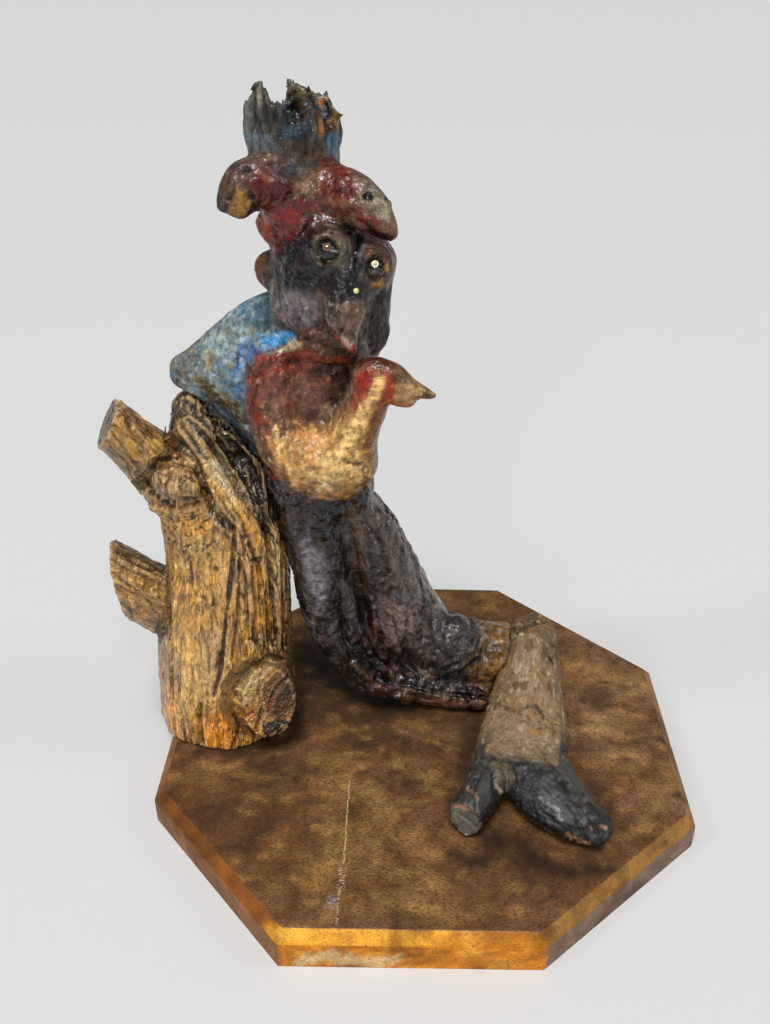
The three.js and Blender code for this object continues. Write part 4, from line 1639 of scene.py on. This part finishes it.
# The #120e0b dab in the drilled hole is painted shade.
every(shin.stroke, """
#17120e 1.4 495,620 508,630 524,626 545,622
#17120e 1.2 512,640 521,624
#120e0b 1.4 549,658 553,663
#c08f78 1.4 576,838 584,842
#c39a84 1 590,826 594,830
#a77f68 1.6 468,788 478,798
#d8d2c8 1.2 460,838 466,836
#8f8a82 1 446,812 452,808
#9a6a3c 1.6 532,728 540,732
#4a4038 1.4 506,708 518,712
#4a4038 1.4 536,706 542,716
#c8b8a0 1 512,636 522,634
#8c8f92 1 548,810 562,820
""")
dipped = ease(-shin.xyz[:, 1], 54, 60)
every(shin.flecks, """
#4a3a2a .36 101 .6 6,12,6
#94703f .3 104 .5 9,14,9
#b3a088 .24 107 .6 2.5,5,2.5
""", 1 - dipped)
every(shin.flecks, """
#121211 .4 109 .6 6,6,6
#6c6e70 .2 112 .4 3,3,3
""", dipped)
# The #0c0b0b strokes along the toes' lower edges are painted shade.
every(shin.stroke, """
#b58a72 1.6 568,834 580,842 588,843
#b58a72 1.2 596,826 606,828
#a87f66 1.4 456,806 468,808
#a89a84 1.2 497,786 502,792
#8d8f90 1.2 540,798 560,812
#8b8d8e 1.4 532,822 552,836
#0c0b0b 3 500,812 540,836 572,850 600,852
#0c0b0b 2.4 478,818 496,826 508,812
#0f0e0e 2 574,820 580,834
#0f0e0e 1.6 590,816 596,834 604,842
#8f7d66 1.8 492,764 506,766 512,778
""", 0.8)
every(shin.lay, """
#544939 .6 1 2 490,762 516,764 512,786 502,790 494,780
""")
shin.paint = shin.paint ** np.array([1.08, 1.11, 1.18])
shin.chips("#a78a78", dipped, 0.22)
shin.chips("#5d4c3a", 1 - dipped, 0.26)
shin.shine(dipped, 0.62)
shin.shine(1 - dipped, 0.12)
print("shin painted")

# %% [markdown]
# Bare wood has no varnish to shine. Its streaks are noise drawn out along the grain, and the
# black toes are the only part smooth enough to catch the light.

# %% Bare, dusty wood
material, tree, surface = new_material("bare_dusty_root")
grain_place = layer(tree, "grain_place", "Vector")
streaks = noise(tree, stretch(tree, grain_place, 1, 1, 0.12), 480, 5, 0.65)
fine = noise(tree, grain_place, 800, 4, 0.7)
settle(surface, {
    "Base Color": coats(tree, streaks, fine, 0.28),
    "Roughness": span(tree, layer(tree, "gloss"), 0, 1, 0.85, 0.2),
    "Normal": bump(tree, fine, 0.35, 0.0004, Normal=bump(tree, streaks, 0.5, 0.0008)),
})
shin.keep("grain_place", "FLOAT_VECTOR", fibres * MM)
shin.done(material, "bare_root")

# %% [markdown]
# ## The board
# A sawn octagon, a little out of true, with a chamfered upper edge. Its outline is lofted
# downwards for the edges and shrunk towards the middle for the top, so that the rows of points
# fall exactly on the arrises, which are then worn a little.

# %% Build the board
ACROSS, THICK, ARRIS = 350, 25, 18.6
SIDE_POINTS = 44
CORNERS = ACROSS * np.array([
    (-0.489, -0.206), (-0.219, -0.499), (0.210, -0.487), (0.506, -0.223),
    (0.506, 0.206), (0.194, 0.504), (-0.206, 0.498), (-0.503, 0.206),
])
ROUND = SIDE_POINTS * len(CORNERS)


def unit(rows):
    return rows / np.linalg.norm(rows, axis=1)[:, None]


def outline(inset):
    """The octagon moved inwards, with points spread along its sides."""
    into = unit(CORNERS - np.roll(CORNERS, 1, axis=0))
    onward = unit(np.roll(CORNERS, -1, axis=0) - CORNERS)
    half = np.arccos(np.einsum("ij,ij->i", into, onward)) / 2
    corners = CORNERS + unit(onward - into) * (inset / np.cos(half))[:, None]
    t = np.linspace(0, 1, SIDE_POINTS, endpoint=False)[:, None]
    return np.vstack([a + (b - a) * t for a, b in zip(corners, np.roll(corners, -1, axis=0))])


rows = [(0, z) for z in (0, 0.6, 4, 8, 12, 15, 17.6, 18.3)] + [(0.25, 18.75)]
rows += [(w, ARRIS + w) for w in (0.9, 2.2, 3.6, 5.0, 5.9)] + [(6.25, 24.75), (6.7, 25), (8.2, 25)]
rings = [np.column_stack([outline(inset), np.full(ROUND, z)]) for inset, z in rows]
rings += [rings[-1] * (s, s, 1) for s in np.linspace(1, 0.02, 62)[1:]]
steps = [(k, (k + 1) % ROUND) for k in range(ROUND)]
last = (len(rings) - 1) * ROUND
faces = [
    (low + k, low + after, low + ROUND + after, low + ROUND + k)
    for low in range(0, last, ROUND) for k, after in steps
]
faces += [(after, k, last + ROUND) for k, after in steps]
faces += [(last + k, last + after, last + ROUND + 1) for k, after in steps]
mesh = bpy.data.meshes.new("octagon_board")
mesh.from_pydata((np.vstack(rings + [[(0, 0, 0), (0, 0, THICK)]]) * MM).tolist(), [], faces)
board = Block("plinth_board", mesh, "#6f5236")
level = board.xyz[:, 2]
worn = np.exp(-((level - ARRIS) / 0.9) ** 2) + 0.7 * np.exp(-((level - THICK) / 0.3) ** 2)
edge = ease(np.linalg.norm(board.xyz[:, :2], axis=1), 150, 160)
nicks = ease(rumple(board.xyz, 9, 61), 0.25, 0.75)
board.push(worn * edge * (0.25 + nicks), -0.5)
board.look()
print("board", len(mesh.polygons), "faces")

# %% [markdown]
# The top is a wiped brown stain, and the sawn edges took it up in other tones, golden in front.
# A point's height and its distance to the sides tell the top, the chamfer and the sides apart,
# and the way it faces tells the eight sides. Dark patches round the feet and under the figure are
# painted shadow.

# %% Paint the board
inset = np.full(board.count, 1e9)
for a, b in zip(CORNERS, np.roll(CORNERS, -1, axis=0)):
    run = (b - a) / np.linalg.norm(b - a)
    inset = np.minimum(inset, (board.xyz[:, :2] - a) @ np.array([-run[1], run[0]]))
side = 1 - ease(board.xyz[:, 2], 18.3, 18.7)
bevel = ease(board.xyz[:, 2], 18.3, 18.7) * (1 - ease(inset, 6.0, 6.7))
edges = np.maximum(bevel, side)
top = 1 - edges
heading = np.degrees(np.arctan2(board.normal[:, 1], board.normal[:, 0]))
for _, bevel_paint, side_paint, middle in drawn("""
#a8700e #c07c0a -90
#7c4f1e #835624 -133
#8a5c30 #8a5c30 180
#7d5a34 #7d5a34 135
#7d5a34 #8a6436 90
#7a5c38 #7d5f40 45
#7f6138 #80664a 0
#8f6c38 #7f6856 -42
"""):
    turn = np.abs((heading - middle + 180) % 360 - 180) < 24
    board.coat(bevel_paint, bevel * turn)
    board.coat(side_paint, side * turn)
for outline_px, paint, strength, soft in drawn("""
#4b3826 .75 10 300,600 340,650 430,716 480,716 470,760 330,752 296,700
#5c442c .8 9 180,760 300,770 320,850 300,900 240,860 180,810
#86673f .6 9 300,860 440,850 540,880 520,920 320,920
#664a2f .6 8 460,850 600,850 620,870 560,910 470,890
#8a6c4e .7 9 560,620 640,660 680,800 640,830 590,790 560,700
#6a4c33 .6 7 560,760 600,760 660,800 640,840 590,800
#9a7a48 .75 6 324,782 372,772 392,800 360,816 330,806
#9c7b46 .75 6 330,820 362,814 376,846 352,868 326,856
#93713f .7 5 370,820 398,812 400,838 376,846
#a08350 .75 4 392,750 416,756 442,780 424,788 404,772
#8f6e40 .6 5 310,862 340,860 352,882 322,888
#7a5f3e .6 6 250,772 290,776 300,800 262,800
#a0805a .6 6 584,660 640,668 652,690 604,684
#a0825e .55 6 580,706 620,712 622,736 590,734
#7d6245 .6 6 400,716 478,716 470,748 400,744
#5a412a .7 6 156,808 186,770 196,790 178,830
"""):
    board.coat(paint, board.patch(outline_px, soft, soft * 1.3) * top, strength)
every(board.flecks, """
#9a7638 .36 141 .32 30,20,20
#4a331f .42 144 .4 34,24,20
#b08d50 .26 147 .4 12,8,9
#3a2818 .32 150 .35 10,7,9
""", top, 0.25)
every(board.flecks, """
#e0a63c .34 153 .6 16,16,6
""", edges * (heading < -60) * (heading > -110))
every(board.flecks, """
#7a4a16 .3 156 .5 18,18,6
""", edges)
board.coat("#d9bf8c", ease(board.line("300,962 330,956 370,964 400,958", 4, 0.8), 0.1, 0.5) * side, 0.8)
board.coat("#e2ab4c", ease(board.line("284,930 300,936", 6), 0, 0.6) * bevel, 0.7)
board.coat("#e8ad3c", board.blob((-40, -170, 21), (60, 8, 5)) * bevel, 0.6)
# Painted shadow: dark #20160e patches on the top round the feet, the shin, the figure and the stump.
for outline_px, strength in drawn("""
.75 440,838 470,852 498,828 520,842 560,862 606,866 622,846 614,876 560,884 508,862 472,870 446,858
.6 474,700 496,700 486,760 466,806 436,826 444,786 462,744
.6 570,770 590,800 622,836 630,828 600,786 576,752
.5 296,650 330,690 380,716 470,722 488,706 380,690 330,640
.7 296,690 310,700 306,740 270,756 190,758 176,748 290,730
"""):
    board.coat("#20160e", board.patch(outline_px, 6, 5) * top, strength)
board.paint = 1.12 * board.paint ** np.array([1.1, 1.13, 1.12])
board.chips("#3b2817", np.ones(board.count), 0.3)
board.chips("#5f3514", edges, 0.36)
board.shine(np.ones(board.count), 0.4)
print("board painted")

# %% [markdown]
# The varnish on the board was wiped on with a rag: short dark fibres run left to right under it.
# One long scratch with drips of pale paint crosses the front; it is worked out from the distance
# to a line on the board.


# %% Stained and varnished board
def on_board(across, down):
    """The place on the board's top, in metres, behind a picture position."""
    ray = -BACK + (across - PICTURE[0] / 2) / FOCAL * RIGHT - (down - PICTURE[1] / 2) / FOCAL * UP
    return (CAMERA_PLACE + ray * (THICK - CAMERA_PLACE[2]) / ray[2]) * MM


material, tree, surface = new_material("wiped_varnish_on_softwood")
place = object_place(tree)
long_fibres = stretch(tree, place, 0.36, 1, 1)
streaks = noise(tree, long_fibres, 1250, 2, 0.6)
wipes = noise(tree, place, 34, 9, 0.68, Distortion=0.5)
fine = noise(tree, long_fibres, 1500, 2, 0.6)
pores = maths(tree, "MULTIPLY", span(tree, streaks, 0.52, 0.36), layer(tree, "lying"))
base = over(tree, pores, coats(tree, wipes, fine, 0.5, 0.45), "#2e2013")
for (start, end), paint, width, wander, gaps in drawn("""
#b79b6c .0006 121 .40 350,780 343,866
#a9926c .0009 122 .50 342,866 336,926
#b8a482 .003 123 .53 343,868 340,890
#84868c .0045 124 .50 334,894 330,910
"""):
    a, b = on_board(*start), on_board(*end)
    length = float(np.linalg.norm(b - a))
    run = (b - a) / length
    offset = node(tree, "ShaderNodeVectorMath", {"operation": "SUBTRACT", 0: place, 1: tuple(a)})
    dot = {"operation": "DOT_PRODUCT", 0: offset}
    across = node(tree, "ShaderNodeVectorMath", {**dot, 1: (-run[1], run[0], 0)}, "Value")
    along = node(tree, "ShaderNodeVectorMath", {**dot, 1: tuple(run)}, "Value")
    drift = maths(tree, "MULTIPLY_ADD", noise(tree, place, wander, 3), 0.004, -0.002)
    gap = maths(tree, "ABSOLUTE", maths(tree, "ADD", across, drift))
    share = span(tree, gap, width, width * 0.4)
    for value, low, high in ((along, 0, 0.002), (along, length, length - 0.002), (fine, gaps, gaps + 0.06)):
        share = maths(tree, "MULTIPLY", share, span(tree, value, low, high))
    base = over(tree, share, base, paint)
settle(surface, {
    "Base Color": base,
    "Roughness": span(tree, wipes, 0.3, 0.7, 0.62, 0.36),
    "Specular IOR Level": 0.22,
    "Normal": bump(tree, streaks, 0.35, 0.0003),
})
board.keep("lying", "FLOAT", 0.15 + 0.55 * top)
board.done(material, "board", 0.5)

# %% [markdown]
# ## The eyes
# The eyes are clear glass beads pushed into carved sockets. One shows the dark hole it was
# drilled with; the other is held by a bright pin. A small yellow pin head sits on the nose.
# Each is turned like a bead on a lathe: a profile goes round an axis that looks at the viewer.


# %% Glass beads and pins
def turned(name, profile, centre, axis, material, sides=32):
    """A small turned piece: profile is (radius, height) in mm along an axis, closed at both ends."""
    out = Vector(axis).normalized()
    first = out.orthogonal().normalized()
    second = out.cross(first)
    mesh = bpy.data.meshes.new(name)
    spun = bmesh.new()
    loops = []
    for radius, height in profile:
        middle = Vector(centre) + out * height
        if radius == 0:
            loops.append([spun.verts.new(middle * MM)])
            continue
        turns = (2 * math.pi * k / sides for k in range(sides))
        loops.append([
            spun.verts.new((middle + (first * math.cos(t) + second * math.sin(t)) * radius) * MM)
            for t in turns
        ])
    for low, high in zip(loops[:-1], loops[1:]):
        for k in range(sides):
            corners = [row[at % len(row)] for row, at in ((low, k), (low, k + 1), (high, k + 1), (high, k))]
            spun.faces.new(list(dict.fromkeys(corners)))
    bmesh.ops.recalc_face_normals(spun, faces=spun.faces)
    spun.to_mesh(mesh)
    spun.free()
    mesh.materials.append(material)
    mesh.polygons.foreach_set("use_smooth", np.ones(len(mesh.polygons), bool))
    made = stand(name, mesh)
    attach(made, "root")
    return made


def ball(radius, rounds=24):
    """The profile of a ball."""
    turns = [math.pi * k / rounds for k in range(1, rounds)]
    return [(0, -radius), *((radius * math.sin(t), -radius * math.cos(t)) for t in turns), (0, radius)]


def mottled(name, scale, one, other, rough, metallic=0):
    """A metal or enamel whose colour drifts between two."""
    material, tree, surface = new_material(name)
    drift = noise(tree, object_place(tree), scale, 3)
    settle(surface, {"Base Color": over(tree, drift, one, other), "Roughness": rough, "Metallic": metallic})
    return material


glass, tree, surface = new_material("pressed_clear_glass")
settle(surface, {"Base Color": "#f3efe2", "Roughness": 0.02, "IOR": 1.5, "Transmission Weight": 1})
steel = mottled("nickel_plated_pin", 700, "#cfc8b0", "#8f8468", 0.35, 0.3)
enamel = mottled("yellow_enamelled_pin_head", 600, "#e6e29a", "#cfc46e", 0.18)
old_pin = mottled("rusted_pin_in_bead_hole", 900, "#9c7444", "#3a2716", 0.5)

OUTWARD = (0, -0.86, 0.5)
LEFT_EYE, RIGHT_EYE, NOSE = (-51.6, -35, 367.6), (-27.9, -35, 359.3), (-37.9, -36, 347.8)
for name, node_name, centre in [
    ("glass_eye_left", "eye_bead_left", LEFT_EYE), ("glass_eye_right", "eye_bead_right", RIGHT_EYE),
]:
    bead = turned(name, ball(5), centre, OUTWARD, glass, 40)
    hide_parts(node_name)
turned("eye_hole_left", [
    (0, 4.2), (1.1, 4.25), (1.7, 4.7), (2.0, 4.75), (2.1, 4.5), (1.9, 4.0), (0, 3.6),
], LEFT_EYE, (-0.05, -0.78, 0.62), old_pin)
turned("eye_pin_right", [
    (0, 5.5), (0.7, 5.45), (0.95, 5.15), (1.1, 4.9), (1.35, 4.9), (1.7, 5.0), (1.9, 4.8), (1.8, 4.3), (0, 4.2),
], RIGHT_EYE, (0, -0.76, 0.64), steel)
nose = turned("nose_pin_head", ball(1.8, 16), NOSE, OUTWARD, enamel, 24)
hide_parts("nose_bead")
print("eyes set")

# %% [markdown]
# ## The setting
# A plain pale floor and soft studio light from above and in front, as for a record photograph.
# Suns with a wide angle give the soft edges that large windows would.

# %% Floor and light
REACH = 30
floor_mesh = bpy.data.meshes.new("floor")
corners = [(x * REACH, y * REACH, 0) for x, y in ((-1, -1), (1, -1), (1, 1), (-1, 1))]
floor_mesh.from_pydata(corners, [], [(0, 1, 2, 3)])
floor = stand("floor", floor_mesh)
pale, tree, surface = new_material("pale_matt_laminate")
settle(surface, {"Base Color": "#cdcdcc", "Roughness": 0.6})
floor_mesh.materials.append(pale)

world = bpy.data.worlds.new("studio")
bpy.context.scene.world = world
world.use_nodes = True
settle(world.node_tree.nodes["Background"], {"Color": "#f4f6f8", "Strength": 0.2})


def lamp(name, energy, degrees, place, target):
    """A distant light, so wide across in the sky, shining from a place to a target."""
    light = bpy.data.lights.new(name, "SUN")
    light.energy, light.angle = energy, math.radians(degrees)
    facing = (Vector(target) - Vector(place)).to_track_quat("-Z", "Y")
    stand(name, light).matrix_world = Matrix.Translation(place) @ facing.to_matrix().to_4x4()


lamp("overhead", 2.7, 24, (-0.12, -0.4, 1.2), (0, 0, 0.1))
lamp("right_fill", 0.35, 20, (0.9, -0.1, 0.7), (0, 0, 0.1))
lamp("low_window", 0.45, 10, (-0.45, -1.7, 0.75), (-0.05, 0, 0.2))
lamp("left_window", 0.3, 8, (-1.1, -0.5, 1.3), (-0.05, 0, 0.2))
lamp("front_window", 0.3, 8, (0.35, -1.0, 1.35), (-0.05, 0, 0.25))
bpy.context.scene.view_settings.view_transform = "Standard"
print("lit")

# %% [markdown]
